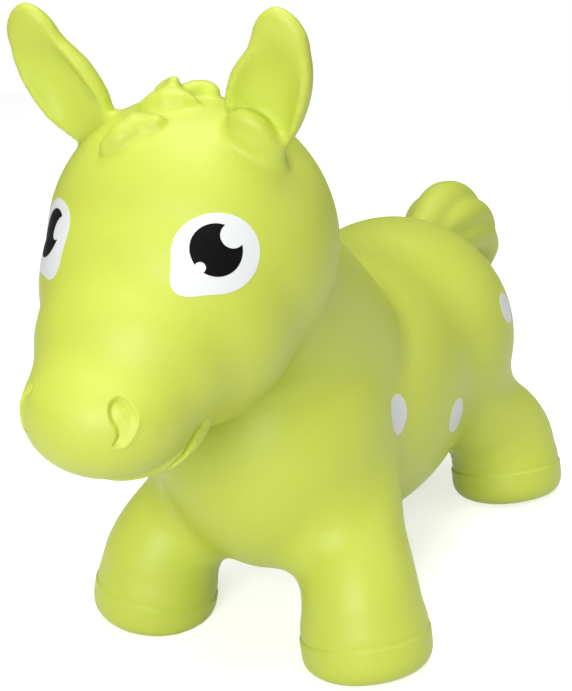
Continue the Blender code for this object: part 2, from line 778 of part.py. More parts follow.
def foot_frame(side, end):
    """Where a foot stands, with the lean of its hoof. end is -1 in front and 1 behind."""
    x = side * (FOOT_X if end < 0 else REAR_FOOT_X)
    y = FRONT_FOOT_Y if end < 0 else REAR_FOOT_Y
    lean = Matrix.Rotation(side * -HOOF_LEAN_OUT, 4, "Y") @ Matrix.Rotation(-HOOF_TOE_UP, 4, "X")
    return Vector((x, y, 0)), lean


def leg_pieces(shell, shod):
    """Four bending legs and the four hooves below them."""
    for side, hand in ((1, "left"), (-1, "right")):
        for end, place in ((-1, "front"), (1, "rear")):
            foot, lean = foot_frame(side, end)
            up = lean @ Vector((0, 0, 1))
            line = foot + up * HOOF_LINE
            quarter = [midline_plane(side), ((0, foot.y - end * LEG_ZONE_LENGTH, 0), (0, end, 0))]
            near = HOOF_RADIUS + HOOF_MARGIN
            inside = ((foot.x - side * near, 0, 0), (side, 0, 0))
            beyond = ((0, foot.y - end * near, 0), (0, end, 0))
            below = region(f"{place}_{hand}_hoof_cut", [inside, beyond, (line, -up)])
            top, rise = leg_cut(side)
            above = region(
                f"{place}_{hand}_leg_cut",
                [*quarter, (line + up * PIECE_GAP, up), (top - rise * PIECE_GAP, -rise)],
            )
            piece(f"{place}_{hand}_hoof", shod, [("INTERSECT", below)], foot)
            piece(f"{place}_{hand}_leg", shell, [("INTERSECT", above)], foot)
            put_away(below)
            put_away(above)


def midline_plane(side):
    """Point and normal of a plane just beside the midline, which faces this side."""
    return Vector((side * MIDLINE_CLEARANCE, 0, 0)), Vector((side, 0, 0))


def leg_cut(side):
    """The tilted plane where the legs leave the body: low inside, higher outside."""
    normal = Vector((-side * math.sin(LEG_CUT_RISE), 0, math.cos(LEG_CUT_RISE)))
    return Vector((side * LEG_CUT_X, 0, LEG_CUT_Z)), normal


def mouldings(tree):
    """Helpers that press the nostrils and the line of the mouth into the muzzle."""
    helpers = []
    for side in (1, -1):
        knots = []
        for point, share in zip((NOSTRIL_TOP, NOSTRIL_MIDDLE, NOSTRIL_TAIL), NOSTRIL_SHARES):
            radius = NOSTRIL_RADIUS * share
            knots.append((on_skin(tree, mirrored(point, side), radius - NOSTRIL_DEPTH * share), radius))
        helpers.append(rounded_limb(f"nostril_{side}", knots))
    half = [MOUTH_CORNER, MOUTH_SIDE, MOUTH_BEND]
    way = [*(mirrored(point, -1) for point in half), MOUTH_FRONT, *reversed(half)]
    line = []
    for start, end in zip(way, way[1:]):
        for i in range(MOUTH_STEPS):
            point = Vector(start).lerp(Vector(end), i / MOUTH_STEPS)
            line.append((on_skin(tree, point, MOUTH_RADIUS - MOUTH_DEPTH), MOUTH_RADIUS))
    line.append((on_skin(tree, way[-1], MOUTH_RADIUS - MOUTH_DEPTH), MOUTH_RADIUS))
    helpers.append(rounded_limb("mouth_line", line))
    return helpers


def mirrored(point, side):
    """A point on the left side, or its twin on the right."""
    return Vector((point[0] * side, point[1], point[2]))


def on_skin(tree, point, lift):
    """The place on the skin nearest to a point, lifted off it."""
    place, normal, _, _ = tree.find_nearest(Vector(point))
    return place + normal * lift


def rounded_limb(name, stations):
    """A limb that runs in to small blunt ends."""
    first, second = stations[0], stations[1]
    last, before = stations[-1], stations[-2]
    radius = first[1]
    start = first[0] + (first[0] - second[0]).normalized() * radius
    end = last[0] + (last[0] - before[0]).normalized() * last[1]
    ends = (start, radius * BLUNT_END_SHARE), (end, last[1] * BLUNT_END_SHARE)
    return limb(name, [ends[0], *stations, ends[1]], 3, 2)


def prints(outer, tree):
    """Eyes and spots: thin layers just off the skin, white first and black above it."""
    levels = []
    for level in (1, 2):
        low = PIECE_GAP * level + PRINT_THICKNESS * (level - 1)
        inner = grown(outer, f"print_inner_{level}", low)
        levels.append((grown(outer, f"print_outer_{level}", low + PRINT_THICKNESS), inner))
    helpers = [helper for level in levels for helper in level]
    for side, hand in ((1, "left"), (-1, "right")):
        turn = Vector((side * math.sin(EYE_TURN), -math.cos(EYE_TURN), math.tan(EYE_TILT))).normalized()
        frame = frame_on(tree, (side * EYE_X, EYE_Y, EYE_Z), turn)
        white = prism(f"{hand}_eye_outline", eye_outline(side), frame, PRINT_PRISM_HALF_DEPTH)
        layer_piece(f"{hand}_eye_white", levels[0], white, "white", frame.translation)
        pupil = prism(
            f"{hand}_pupil_outline",
            ellipse(2 * PUPIL_RADIUS, 2 * PUPIL_RADIUS, 0, PUPIL_RISE),
            frame,
            PRINT_PRISM_HALF_DEPTH,
        )
        for x, y, radius in (
            (GLINT_X, GLINT_Y, GLINT_RADIUS),
            (SMALL_GLINT_X, SMALL_GLINT_Y, SMALL_GLINT_RADIUS),
        ):
            glint = prism(
                f"{hand}_glint_outline",
                ellipse(2 * radius, 2 * radius, x, y + PUPIL_RISE),
                frame,
                2 * PRINT_PRISM_HALF_DEPTH,
            )
            boolean(pupil, glint, "DIFFERENCE")
            put_away(glint)
        layer_piece(f"{hand}_pupil", levels[1], pupil, "black", frame.translation)
        put_away(white)
        put_away(pupil)
        for i, (y, z, radius) in enumerate(SPOTS, 1):
            start = (side * BARREL_HALF_WIDTH, y, z)
            frame = frame_on(tree, start, way_out(tree, start, radius))
            spot = prism(f"{hand}_spot_{i}_outline", ellipse(2 * radius, 2 * radius), frame, radius)
            layer_piece(f"{hand}_spot_{i}", levels[0], spot, "white", frame.translation)
            put_away(spot)
    for helper in helpers:
        put_away(helper)


def layer_piece(name, level, outline, paint, origin):
    """The part of one print layer that lies inside an outline."""
    outside, inside = level
    item = piece(name, outline, [("INTERSECT", outside), ("DIFFERENCE", inside)], origin)
    item.data.materials.clear()
    item.data.materials.append(bpy.data.materials[paint])
    return item


def valve(tree):
    """The seat and the plug under the belly. Returns the hole's cutter."""
    belly = Vector((0, VALVE_Y, HIP_Z))
    for i in range(ROUND_STEPS):
        angle = 2 * math.pi * i / ROUND_STEPS
        rim = SEAT_FLANGE_RADIUS * Vector((math.cos(angle), math.sin(angle), 0))
        below = Vector((0, VALVE_Y, 0))
        for start in (below, below + rim):
            belly.z = min(belly.z, tree.ray_cast(start, Vector((0, 0, 1)))[0].z)
    hole = turned("valve_hole", [
        (0, SEAT_HEIGHT),
        (SEAT_BARREL_RADIUS + PIECE_GAP, SEAT_HEIGHT),
        (SEAT_BARREL_RADIUS + PIECE_GAP, -SEAT_HEIGHT),
        (0, -SEAT_HEIGHT),
    ], VALVE_STEPS)
    top = -PIECE_GAP
    bottom = top - SEAT_FLANGE_THICKNESS
    ring = SEAT_LIP_HEIGHT + SEAT_LIP_RADIUS - SEAT_BARREL_RADIUS
    seat = turned("valve_seat", [
        (BORE_END_RADIUS, SEAT_HEIGHT),
        (SEAT_BARREL_RADIUS, SEAT_HEIGHT),
        (SEAT_LIP_RADIUS, ring),
        (SEAT_LIP_RADIUS, SEAT_LIP_HEIGHT),
        (SEAT_BARREL_RADIUS, SEAT_LIP_HEIGHT),
        (SEAT_BARREL_RADIUS, top),
        (SEAT_FLANGE_RADIUS, top),
        (SEAT_FLANGE_RADIUS, bottom),
        (BORE_MOUTH_RADIUS, bottom),
    ], VALVE_STEPS, ring=True)
    head = bottom - PIECE_GAP
    slope = (BORE_MOUTH_RADIUS - BORE_END_RADIUS) / (SEAT_HEIGHT - bottom)
    tip = BORE_MOUTH_RADIUS - slope * (PLUG_LENGTH - bottom) - PLUG_CLEARANCE
    rim = PLUG_HEAD_THICKNESS / 3
    plug = turned("air_plug", [
        (0, PLUG_LENGTH),
        (tip, PLUG_LENGTH),
        (BORE_MOUTH_RADIUS - PLUG_CLEARANCE, head),
        (PLUG_HEAD_RADIUS - rim, head),
        (PLUG_HEAD_RADIUS, head - rim),
        (PLUG_HEAD_RADIUS, head - 2 * rim),
        (PLUG_HEAD_RADIUS - rim, head - PLUG_HEAD_THICKNESS),
        (0, head - PLUG_HEAD_THICKNESS),
    ], VALVE_STEPS)
    hole.data.transform(Matrix.Translation(belly))
    for item in (seat, plug):
        bpy.context.scene.collection.objects.unlink(item)
        bpy.data.collections["bouncy_pony"].objects.link(item)
        item.data.transform(Matrix.Translation(belly))
        finish(item, belly)
    return hole


def neck_planes():
    """Point and normal of the two planes that bound the bending neck."""
    normal = Vector((0, -math.sin(NECK_PITCH), math.cos(NECK_PITCH)))
    middle = Vector((0, NECK_Y, NECK_Z))
    return middle - normal * NECK_LENGTH / 2, middle + normal * NECK_LENGTH / 2, normal


def tail_planes():
    """Point and normal of the two planes that bound the tail's root."""
    normal = Vector((0, math.cos(TAIL_CUT_PITCH), math.sin(TAIL_CUT_PITCH)))
    first = Vector((0, TAIL_CUT_Y, TAIL_CUT_Z))
    return first, first + normal * TAIL_ROOT_LENGTH, normal


def ear_planes(side):
    """Point and normal of the two planes that bound an ear's root."""
    root = Vector((side * EAR_ROOT_X, EAR_ROOT_Y, EAR_ROOT_Z))
    tip = Vector((side * EAR_TIP_X, EAR_TIP_Y, EAR_TIP_Z))
    axis = (tip - root).normalized()
    first = root + axis * EAR_CUT_RISE
    return first, first + axis * EAR_ROOT_LENGTH, axis


def main():
    clear_scene()
    new_collection("bouncy_pony")
    new_collection("cutters")
    material("vinyl", COLOURS["vinyl"], 0.38)
    material("white", COLOURS["white"], 0.45)
    material("black", COLOURS["black"], 0.35)
    outer, hollow = skin_forms()
    tree = surface(outer)
    pressed = mouldings(tree)
    hole = valve(tree)
    prints(outer, tree)
    shell = grown(outer, "shell", 0.0)
    boolean(shell, hollow, "DIFFERENCE")
    shod = grown(outer, "shod", HOOF_STEP)
    cut_flat(shod, (0, 0, 0), (0, 0, -1))
    boolean(shod, hollow, "DIFFERENCE")
    gap = PIECE_GAP
    low, high, neck = neck_planes()
    behind = region("behind_neck", [(low, -neck)])
    between = region("neck_cut", [(low + neck * gap, neck), (high - neck * gap, -neck)])
    ahead = region("ahead_of_neck", [(high, neck)])
    tail_1, tail_2, tail_way = tail_planes()
    tail_off = region("tail_off", [(tail_1 - tail_way * gap, tail_way)])
    tail_root = region("tail_root_cut", [(tail_1, tail_way), (tail_2, -tail_way)])
    tail_end = region("tail_cut", [(tail_2 + tail_way * gap, tail_way)])
    legs_off = []
    for side in (1, -1):
        top, rise = leg_cut(side)
        legs_off.append(region("legs_off", [midline_plane(side), (top, -rise)]))
    ears_off = []
    for side, hand in ((1, "left"), (-1, "right")):
        first, second, axis = ear_planes(side)
        beside = (Vector((side * EAR_INNER_X, 0, 0)), Vector((side, 0, 0)))
        off = region(f"{hand}_ear_off", [(first - axis * gap, axis), beside])
        root = region(f"{hand}_ear_root_cut", [(first, axis), (second, -axis), beside])
        end = region(f"{hand}_ear_cut", [(second + axis * gap, axis), beside])
        ears_off.append(off)
        pivot = (first + second) / 2
        piece(f"{hand}_ear_root", outer, [("INTERSECT", root), ("INTERSECT", ahead)], pivot)
        piece(f"{hand}_ear", outer, [("INTERSECT", end), ("INTERSECT", ahead)], pivot)
        put_away(root)
        put_away(end)
    from_body = [("DIFFERENCE", cut) for cut in (tail_off, *legs_off, hole)]
    from_head = [("DIFFERENCE", cut) for cut in (*ears_off, *pressed)]
    piece("body_skin", shell, [("INTERSECT", behind), *from_body])
    piece("neck_skin", shell, [("INTERSECT", between)])
    piece("head_skin", shell, [("INTERSECT", ahead), *from_head], (0, NECK_Y, NECK_Z))
    drop = Vector((0, tail_way.z, -tail_way.y)) * TAIL_PIVOT_DROP
    pivot = (tail_1 + tail_2) / 2 + drop
    piece("tail_root", shell, [("INTERSECT", tail_root)], pivot)
    piece("tail", shell, [("INTERSECT", tail_end)], pivot)
    leg_pieces(shell, shod)
    sources = (outer, hollow, shell, shod)
    planes = (behind, between, ahead, tail_off, tail_root, tail_end)
    for helper in (*sources, *planes, *legs_off, *ears_off, *pressed, hole):
        put_away(helper)


main()
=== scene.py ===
"""The bouncy pony dressed for its picture: fine vinyl skin, ink, valve, floor, light and camera."""

import math

import bpy
import numpy as np
from mathutils import Matrix, Vector
from mathutils.bvhtree import BVHTree


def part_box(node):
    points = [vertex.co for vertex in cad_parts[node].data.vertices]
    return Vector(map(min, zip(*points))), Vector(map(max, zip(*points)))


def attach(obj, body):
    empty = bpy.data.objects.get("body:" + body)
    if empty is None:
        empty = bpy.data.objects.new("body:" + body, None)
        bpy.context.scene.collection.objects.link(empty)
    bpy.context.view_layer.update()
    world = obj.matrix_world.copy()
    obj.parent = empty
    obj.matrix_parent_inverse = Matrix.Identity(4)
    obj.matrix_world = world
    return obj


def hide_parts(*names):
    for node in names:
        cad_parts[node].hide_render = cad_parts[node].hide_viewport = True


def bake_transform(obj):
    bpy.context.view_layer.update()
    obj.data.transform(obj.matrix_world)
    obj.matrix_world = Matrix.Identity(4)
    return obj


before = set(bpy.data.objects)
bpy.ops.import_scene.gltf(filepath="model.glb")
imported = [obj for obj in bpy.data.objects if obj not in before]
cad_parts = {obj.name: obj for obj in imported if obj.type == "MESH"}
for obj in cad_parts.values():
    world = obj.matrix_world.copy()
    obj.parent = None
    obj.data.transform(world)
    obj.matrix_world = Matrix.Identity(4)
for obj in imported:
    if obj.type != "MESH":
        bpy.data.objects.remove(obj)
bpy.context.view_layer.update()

# Sizes of the moulding, in metres. The planes that part it are those of the part's source. Many of its
# forms have values of their own here. Among others, the barrel is narrower and deeper than in the solids,
# and the legs are slimmer.
CHEST = ((0, -0.068, 0.147), (0.088, 0.092, 0.104))
BARREL = ((0, 0.052, 0.138), (0.094, 0.150, 0.106))
RUMP = ((0, 0.144, 0.149), (0.102, 0.098, 0.100))
NECK = (((0, 0.01, 0.145), 0.070), ((0, -0.028, 0.194), 0.078), ((0, -0.138, 0.294), 0.074))
SKULL = ((0, -0.16, 0.319), (0.097, 0.088, 0.095))
CHEEKS = ((0, -0.193, 0.292), (0.088, 0.072, 0.088))
BRIDGE = ((0, -0.23, 0.272), (0.068, 0.062, 0.062))
MUZZLE = ((0, -0.266, 0.246), (0.055, 0.055, 0.043))
NOSE_START_Y = -0.19
NOSE_FADE = 0.03

FRONT_FOOT = (0.093, -0.116)
REAR_FOOT = (0.088, 0.184)
FRONT_HIP_Y = -0.054
REAR_HIP_Y = 0.124
HIP_X = 0.044
HIP_Z = 0.129
HIP_RADIUS = 0.044
SHANK_Z = 0.047
SHANK_RADIUS = 0.0430
ANKLE_RADIUS = 0.0445
THIGH_RADIUS = 0.0395
THIGH_PLACE_SHARE = 0.55
HOOF_RADIUS = 0.0465
HOOF_HEIGHT = 0.036
HOOF_ROUNDING = 0.013
HOOF_LEAN_OUT = math.radians(10)
HOOF_TOE_UP = math.radians(9)
HOOF_LINE = 0.0235
HOOF_STEP = 0.0011
HOOF_MARGIN = 0.014
# The ledge round a hoof, as heights over its line: where the skin is cut so that it is crisp, how far from
# the line faces are cut, and below what height the hoof swells. The groove lies above it.
LEDGE_CUTS = (0.0004, -0.0006)
LEDGE_REACH = 0.006
LEDGE_WELD = 0.00001
LEDGE_EDGE = 0.0002
LEDGE_SOLE_FADE = 0.004
GROOVE_DEPTH = 0.0005
GROOVE_RISE = 0.0010
GROOVE_WIDTH = 0.0016
SOLE_SINK = 0.004
LEG_CUT_X = 0.047
LEG_CUT_Z = 0.049
LEG_CUT_RISE = math.radians(17)
LEG_ZONE_LENGTH = 0.085
LEG_BEND_LENGTH = 0.028
MIDLINE_CLEARANCE = 0.012

EAR_ROOT = (0.057, -0.168, 0.382)
EAR_TIP = (0.098, -0.191, 0.4755)
EAR_TURN = math.radians(4)
EAR_CUT_RISE = 0.030
EAR_EDGE_Z = 0.402
EAR_EDGE_FADE = 0.01
EAR_INNER_X = 0.030
EAR_BEND_LENGTH = 0.014
EAR_HALF_THICKNESS = 0.012
EAR_SCOOP_DEPTH = 0.0125
EAR_SCOOP_WIDE_SHARE = 0.84
EAR_SCOOP_HIGH_SHARE = 0.92
EAR_SCOOP_LOW_SHARE = 0.18
EAR_THINNING_SHARE = 0.25
EAR_SHORTENING_SHARE = 0.045
EAR_PLUMP_POWER = 0.75
EAR_RIMS_FORWARD = 0.0045
EAR_ENDS_FORWARD = 0.004
EAR_TIP_INWARD = 0.0045
# Half widths of an ear from its foot (-1) to its tip (1), on the side of the head and on the outer side
EAR_INNER_HIGH = (-1, -0.5, -0.2, 0, 0.21, 0.35, 0.47, 0.63, 0.78, 0.89, 1)
EAR_INNER_WIDTH = (
    0.030, 0.0296, 0.0272, 0.0256, 0.0222, 0.0198, 0.0196, 0.0215, 0.0225, 0.0225, 0.0225,
)
EAR_OUTER_HIGH = (-1, 0.6, 0.95, 1)
EAR_OUTER_WIDTH = (0.0252, 0.0255, 0.031, 0.034)
# The foot of the left ear swells forward in two layers along this ridge, with a crease beside it. A layer
# has its shift from the ridge and its radii along it, and the second one lies lower and further back.
EAR_FOOT_RIDGE = (
    (0.0525, -0.1870, 0.4085),
    (0.0600, -0.1880, 0.4085),
    (0.0680, -0.1860, 0.4040),
    (0.0735, -0.1830, 0.3960),
    (0.0775, -0.1775, 0.3870),
)
EAR_FOOT_LAYERS = (
    ((0, 0, 0), (0.0045, 0.0060, 0.0065, 0.0060, 0.0035)),
    ((-0.002, 0.005, -0.010), (0.0080, 0.0100, 0.0100, 0.0080, 0.0040)),
)
EAR_CREASE = (
    (0.0490, -0.1850, 0.4080),
    (0.0540, -0.1850, 0.4105),
    (0.0620, -0.1850, 0.4090),
    (0.0700, -0.1820, 0.4030),
    (0.0760, -0.1770, 0.3930),
)

# Locks of the forelock: for each knot its place over the head, how far its middle lies over the skin, and
# its radius
LOCKS = (
    (
        ((-0.0217, -0.2137), 0.0015, 0.0052),
        ((-0.0146, -0.2092), 0.0005, 0.0093),
        ((-0.0073, -0.2014), -0.0020, 0.0118),
        ((0.0050, -0.1990), 0.0010, 0.0065),
    ),
    (
        ((-0.0124, -0.1821), 0.0015, 0.0050),
        ((-0.0070, -0.1801), 0.0015, 0.0080),
        ((-0.0006, -0.1777), 0.0010, 0.0103),
        ((0.0058, -0.1752), 0.0010, 0.0098),
        ((0.0116, -0.1743), 0.0015, 0.0074),
        ((0.0145, -0.1737), 0.0015, 0.0052),
    ),
    (
        ((-0.0091, -0.1661), 0.0020, 0.0075),
        ((-0.0045, -0.1655), 0.0055, 0.0068),
        ((-0.0002, -0.1679), 0.0095, 0.0050),
        ((0.0020, -0.1699), 0.0125, 0.0034),
    ),
    (
        ((0.0049, -0.1582), 0.0036, 0.0058),
        ((0.0083, -0.1546), 0.0038, 0.0060),
        ((0.0119, -0.1513), 0.0038, 0.0060),
        ((0.0162, -0.1511), 0.0034, 0.0052),
    ),
)

TAIL_PLACES = ((0.204, 0.222), (0.258, 0.233), (0.303, 0.210), (0.305, 0.165))
TAIL_RADIUS = 0.020
# For each strand: how far to the side, how far down and its share of the radius
TAIL_STRANDS = (
    (0, 0, 1),
    (0.015, 0.011, 0.86),
    (-0.015, 0.011, 0.86),
    (0.020, 0.027, 0.76),
    (-0.020, 0.027, 0.76),
)
# At each of the tail's places: how far the strands spread, how far they hang down and how thick they are
TAIL_SPREAD_SHARES = (0.4, 1, 1, 0.5)
TAIL_HANG_SHARES = (1, 1, 1, 0.5)
TAIL_SWELL_SHARES = (0.7, 1, 0.95, 0.5)
TAIL_SOFTNESS = 0.35
TAIL_CUT = (0, 0.235, 0.236)
TAIL_CUT_PITCH = math.radians(25)
TAIL_BEND_LENGTH = 0.012

NECK_MIDDLE = (0, -0.098, 0.2532)
NECK_PITCH = math.radians(34)
NECK_BEND_LENGTH = 0.030

EYE = (0.0620, -0.2312, 0.3378)
EYE_TURN = math.radians(51)
EYE_TILT = math.radians(17)
EYE_WIDTH = 0.0530
EYE_HEIGHT = 0.048
EYE_CORNER_SHARE = 0.32
EYE_CORNER_BELOW = math.radians(36)
EYE_CORNER_SPREAD = math.radians(22)
PUPIL_RADIUS = 0.0158
PUPIL_RISE = 0.002
# Highlights of a pupil: their places and radii
GLINTS = ((0.0113, 0.0068, 0.0077), (-0.0119, -0.0085, 0.0034))
# Spots of a flank: their places along and up, and their radii
SPOTS = ((-0.031, 0.159, 0.015), (0.055, 0.123, 0.014), (0.158, 0.178, 0.013))

# Left half of the mouth from its corner to the middle, and of the lower lip below it with its radii
MOUTH = (
    (0.0515, -0.2445, 0.2345),
    (0.0495, -0.2515, 0.2300),
    (0.0469, -0.2560, 0.2247),
    (0.0452, -0.2613, 0.2190),
    (0.0429, -0.2669, 0.2156),
    (0.0380, -0.2713, 0.2111),
    (0.0333, -0.2759, 0.2081),
    (0.0265, -0.2800, 0.2058),
    (0, -0.2900, 0.2045),
)
LIP = (
    ((0.0490, -0.2320, 0.2340), 0.0022),
    ((0.0450, -0.2520, 0.2225), 0.0066),
    ((0.0340, -0.2705, 0.2145), 0.0064),
    ((0, -0.2810, 0.2085), 0.0056),
)
MOUTH_REACH = 0.009
MOUTH_GROOVE_WIDTH = 0.0013
# How deep the mouth's groove is from its middle (0) to its corner (1)
MOUTH_DEPTH_SHARES = (0, 0.6, 0.95, 1)
MOUTH_DEPTHS = (0.0020, 0.0040, 0.0042, 0.0012)
# Left nostril: where it lies, which way it faces, and its outline in millimetres to the left and up.
# The first points are the sharp edge, the others the side where it runs out.
NOSTRIL_PLACE = (0.034, -0.3045, 0.256)
NOSTRIL_WAY = (0.63, -0.71, 0.30)
NOSTRIL_EDGE = (
    (-7.8, -13.0), (-5.0, -9.1), (-5.1, -4.6), (-6.8, -0.7), (-7.9, 5.6), (-6.5, 10.7),
    (-3.8, 13.5), (0.6, 14.6), (4.7, 12.3), (7.1, 8.7), (8.9, 4.4),
)
NOSTRIL_SLOPE = ((9.3, -1.5), (7.5, -6.5), (4.3, -11.2), (0, -15.0), (-4.1, -15.3), (-7.4, -14.4))
NOSTRIL_REACH = 0.024
NOSTRIL_THROUGH = 0.014
NOSTRIL_DEPTH = 0.0042
NOSTRIL_RIM_HEIGHT = 0.0006
NOSTRIL_WALL_MM = 2.8
NOSTRIL_RIM_WIDTH_MM = 2.2
NOSTRIL_RIM_FADE_MM = 6
NOSTRIL_CURVE_STEPS = 6
NOSTRIL_CUTS = 3
NOSTRIL_SLOPE_FLOOR = 0.01
NOSTRIL_SLOPE_POWER = 0.8
MOUTH_CURVE_STEPS = 4
MILLIMETRES = 1000
FACE_FADE_SHARE = 0.15

VALVE_Y = 0.052
SEAT_RADIUS = 0.0085
SEAT_HEIGHT = 0.010
PIECE_GAP = 0.0003

BODY_VOXEL = 0.004
SKIN_VOXEL = 0.0021

# How often each smoothing step runs, and how strong one pass is
TRUNK_PASSES = 80
HEAD_PASSES = 70
PLAIN_PASSES = 16
PLAIN_EVEN_PASSES = 6
NOSE_EVEN_PASSES = 250
JOINING_PASSES = 2
CORNER_PASSES = 14
SKIN_EVEN_PASSES = 5
EAR_EVEN_PASSES = 24
FACE_EVEN_PASSES = 16
FACE_LAST_PASSES = 5
CRISP_EVEN_SHARE = 0.4
SLIDE_SHARE = 0.5
PUFF_SHARE = 0.8
EVEN_STEPS = (0.52, -0.54)

# Round these lines the inner corners stay crisp, out to these distances
LIP_REACH = 0.010
CREASE_REACH = 0.004
LOCK_REACH = 0.014
STRAND_REACH = 0.026
CRISP_FADE = 0.006

# Knots beyond the end of a limb: how far out and how thick, as shares of its radius
ROUND_END_SHARES = ((0.6, 0.75), (0.95, 0.3))
# A distance past every point, before the nearest is found
FAR_AWAY = 9.0
# How far behind its planes a zone's faces may be cut, how far a point may lie behind them, and how near to
# a cut points are drawn onto it
PARTING_MARGIN = 0.012
PARTING_SLACK = 0.000002
CUT_WELD = 0.000001


# Selecting, joining, cutting and applying


def pick(*items):
    """Select these objects alone, the first one active."""
    bpy.ops.object.select_all(action="DESELECT")
    for item in items:
        item.select_set(True)
    bpy.context.view_layer.objects.active = items[0]


def into_edit(item):
    """Edit mode on one object's faces with nothing selected."""
    pick(item)
    bpy.ops.object.mode_set(mode="EDIT")
    bpy.ops.mesh.select_mode(type="FACE")
    bpy.ops.mesh.select_all(action="DESELECT")


def out_of_edit():
    bpy.ops.object.mode_set(mode="OBJECT")


def corners_of(mesh):
    """The points at the corners of all faces, one face after another, and where each face starts."""
    corners = np.empty(len(mesh.loops), np.int64)
    mesh.loops.foreach_get("vertex_index", corners)
    starts = np.empty(len(mesh.polygons), np.int64)
    mesh.polygons.foreach_get("loop_start", starts)
    return corners, starts


def choose(item, keep):
    """Edit mode with those faces selected whose corners are all kept points."""
    mesh = item.data
    corners, starts = corners_of(mesh)
    pick(item)
    mesh.vertices.foreach_set("select", np.zeros(len(mesh.vertices), bool))
    mesh.edges.foreach_set("select", np.zeros(len(mesh.edges), bool))
    mesh.polygons.foreach_set("select", np.logical_and.reduceat(keep[corners], starts))
    bpy.context.tool_settings.mesh_select_mode = (False, False, True)
    bpy.ops.object.mode_set(mode="EDIT")


def apply_all(item):
    """Apply the object's place and its modifiers."""
    pick(item)
    bpy.ops.object.transform_apply(location=True, rotation=True, scale=True)
    for modifier in list(item.modifiers):
        bpy.ops.object.modifier_apply(modifier=modifier.name)
    return item


def cut_away(item, drill, solver):
    """Cut the drill out of the item, and remove the drill."""
    step = item.modifiers.new("cut", "BOOLEAN")
    step.operation = "DIFFERENCE"
    step.solver = solver
    step.object = drill
    apply_all(item)
    bpy.data.objects.remove(drill, do_unlink=True)


def clean_shell(item, reach=0.00003):
    """Weld loose seams and turn every face outwards."""
    into_edit(item)
    bpy.ops.mesh.select_all(action="SELECT")
    bpy.ops.mesh.remove_doubles(threshold=reach)
    bpy.ops.mesh.normals_make_consistent(inside=False)
    out_of_edit()


# The soft forms


def ball(name, centre, radii):
    """A sphere drawn out to three half sizes."""
    bpy.ops.object.select_all(action="DESELECT")
    bpy.ops.mesh.primitive_uv_sphere_add(
        segments=64, ring_count=32, radius=1, location=centre, scale=radii
    )
    item = bpy.context.object
    item.name = name
    return apply_all(item)


def drum(name, radius, depth, place, sides=96):
    """An upright cylinder round a place."""
    bpy.ops.object.select_all(action="DESELECT")
    bpy.ops.mesh.primitive_cylinder_add(vertices=sides, radius=radius, depth=depth, location=place)
    item = bpy.context.object
    item.name = name
    return apply_all(item)


def limb(name, stations, fineness=12):
    """A round limb through (place, radius) stations."""
    bpy.ops.object.select_all(action="DESELECT")
    bpy.ops.curve.primitive_bezier_curve_add(location=(0, 0, 0))
    guide = bpy.context.object
    guide.name = name
    curve = guide.data
    curve.bevel_depth = 1
    curve.bevel_resolution = fineness
    curve.use_fill_caps = True
    curve.resolution_u = 16
    knots = curve.splines[0].bezier_points
    knots.add(len(stations) - len(knots))
    for knot, (place, radius) in zip(knots, stations):
        knot.co = place
        knot.radius = radius
        knot.handle_left_type = "AUTO"
        knot.handle_right_type = "AUTO"
    bpy.ops.object.convert(target="MESH")
    item = bpy.context.object
    clean_shell(item)
    return item


def round_ends(stations):
    """Two more knots at each end of a limb, so that it ends round instead of flat."""
    first, last = stations[0], stations[-1]
    out = []
    for (place, radius), (other, _) in ((first, stations[1]), (last, stations[-2])):
        way = (Vector(place) - Vector(other)).normalized()
        out.append(
            [(Vector(place) + way * radius * far, radius * share) for far, share in ROUND_END_SHARES]
        )
    return [*reversed(out[0]), *stations, *out[1]]


def hoof(name, place, lean):
    """A short drum with a rounded sole edge and a collar that tapers into the shank."""
    item = drum(name, HOOF_RADIUS, HOOF_HEIGHT, (0, 0, HOOF_HEIGHT / 2))
    choose(item, points_of(item.data)[:, 2] > HOOF_HEIGHT / 2)
    bpy.ops.mesh.extrude_region_move(TRANSFORM_OT_translate={"value": (0, 0, SHANK_Z - HOOF_HEIGHT)})
    share = SHANK_RADIUS / HOOF_RADIUS
    bpy.ops.transform.resize(value=(share, share, 1), center_override=(0, 0, SHANK_Z))
    out_of_edit()
    choose(item, points_of(item.data)[:, 2] < HOOF_HEIGHT / 2)
    bpy.ops.mesh.bevel(offset=HOOF_ROUNDING, segments=8, affect="EDGES")
    out_of_edit()
    item.data.transform(Matrix.Translation(place - Vector((0, 0, SOLE_SINK))) @ lean)
    return item


def points_of(mesh):
    points = np.empty(len(mesh.vertices) * 3)
    mesh.vertices.foreach_get("co", points)
    return points.reshape(-1, 3)


def put_points(mesh, points):
    mesh.vertices.foreach_set("co", points.ravel())
    mesh.update()


def ends_of(mesh):
    ends = np.empty(len(mesh.edges) * 2, np.int64)
    mesh.edges.foreach_get("vertices", ends)
    return ends.reshape(-1, 2)


def normals_of(mesh):
    normals = np.empty(len(mesh.vertices) * 3)
    mesh.vertices.foreach_get("normal", normals)
    return normals.reshape(-1, 3)


def net_of(mesh):
    """A mesh's points, the ends of its edges, and how many neighbours each point has."""
    points, ends = points_of(mesh), ends_of(mesh)
    return points, ends, np.bincount(ends.ravel(), minlength=len(points))[:, None].astype(float)


def neighbour_mean(points, ends, count):
    """For each point, the middle of its neighbours."""
    total = np.zeros_like(points)
    for axis in range(3):
        total[:, axis] += np.bincount(ends[:, 0], points[ends[:, 1], axis], len(points))
        total[:, axis] += np.bincount(ends[:, 1], points[ends[:, 0], axis], len(points))
    return total / count


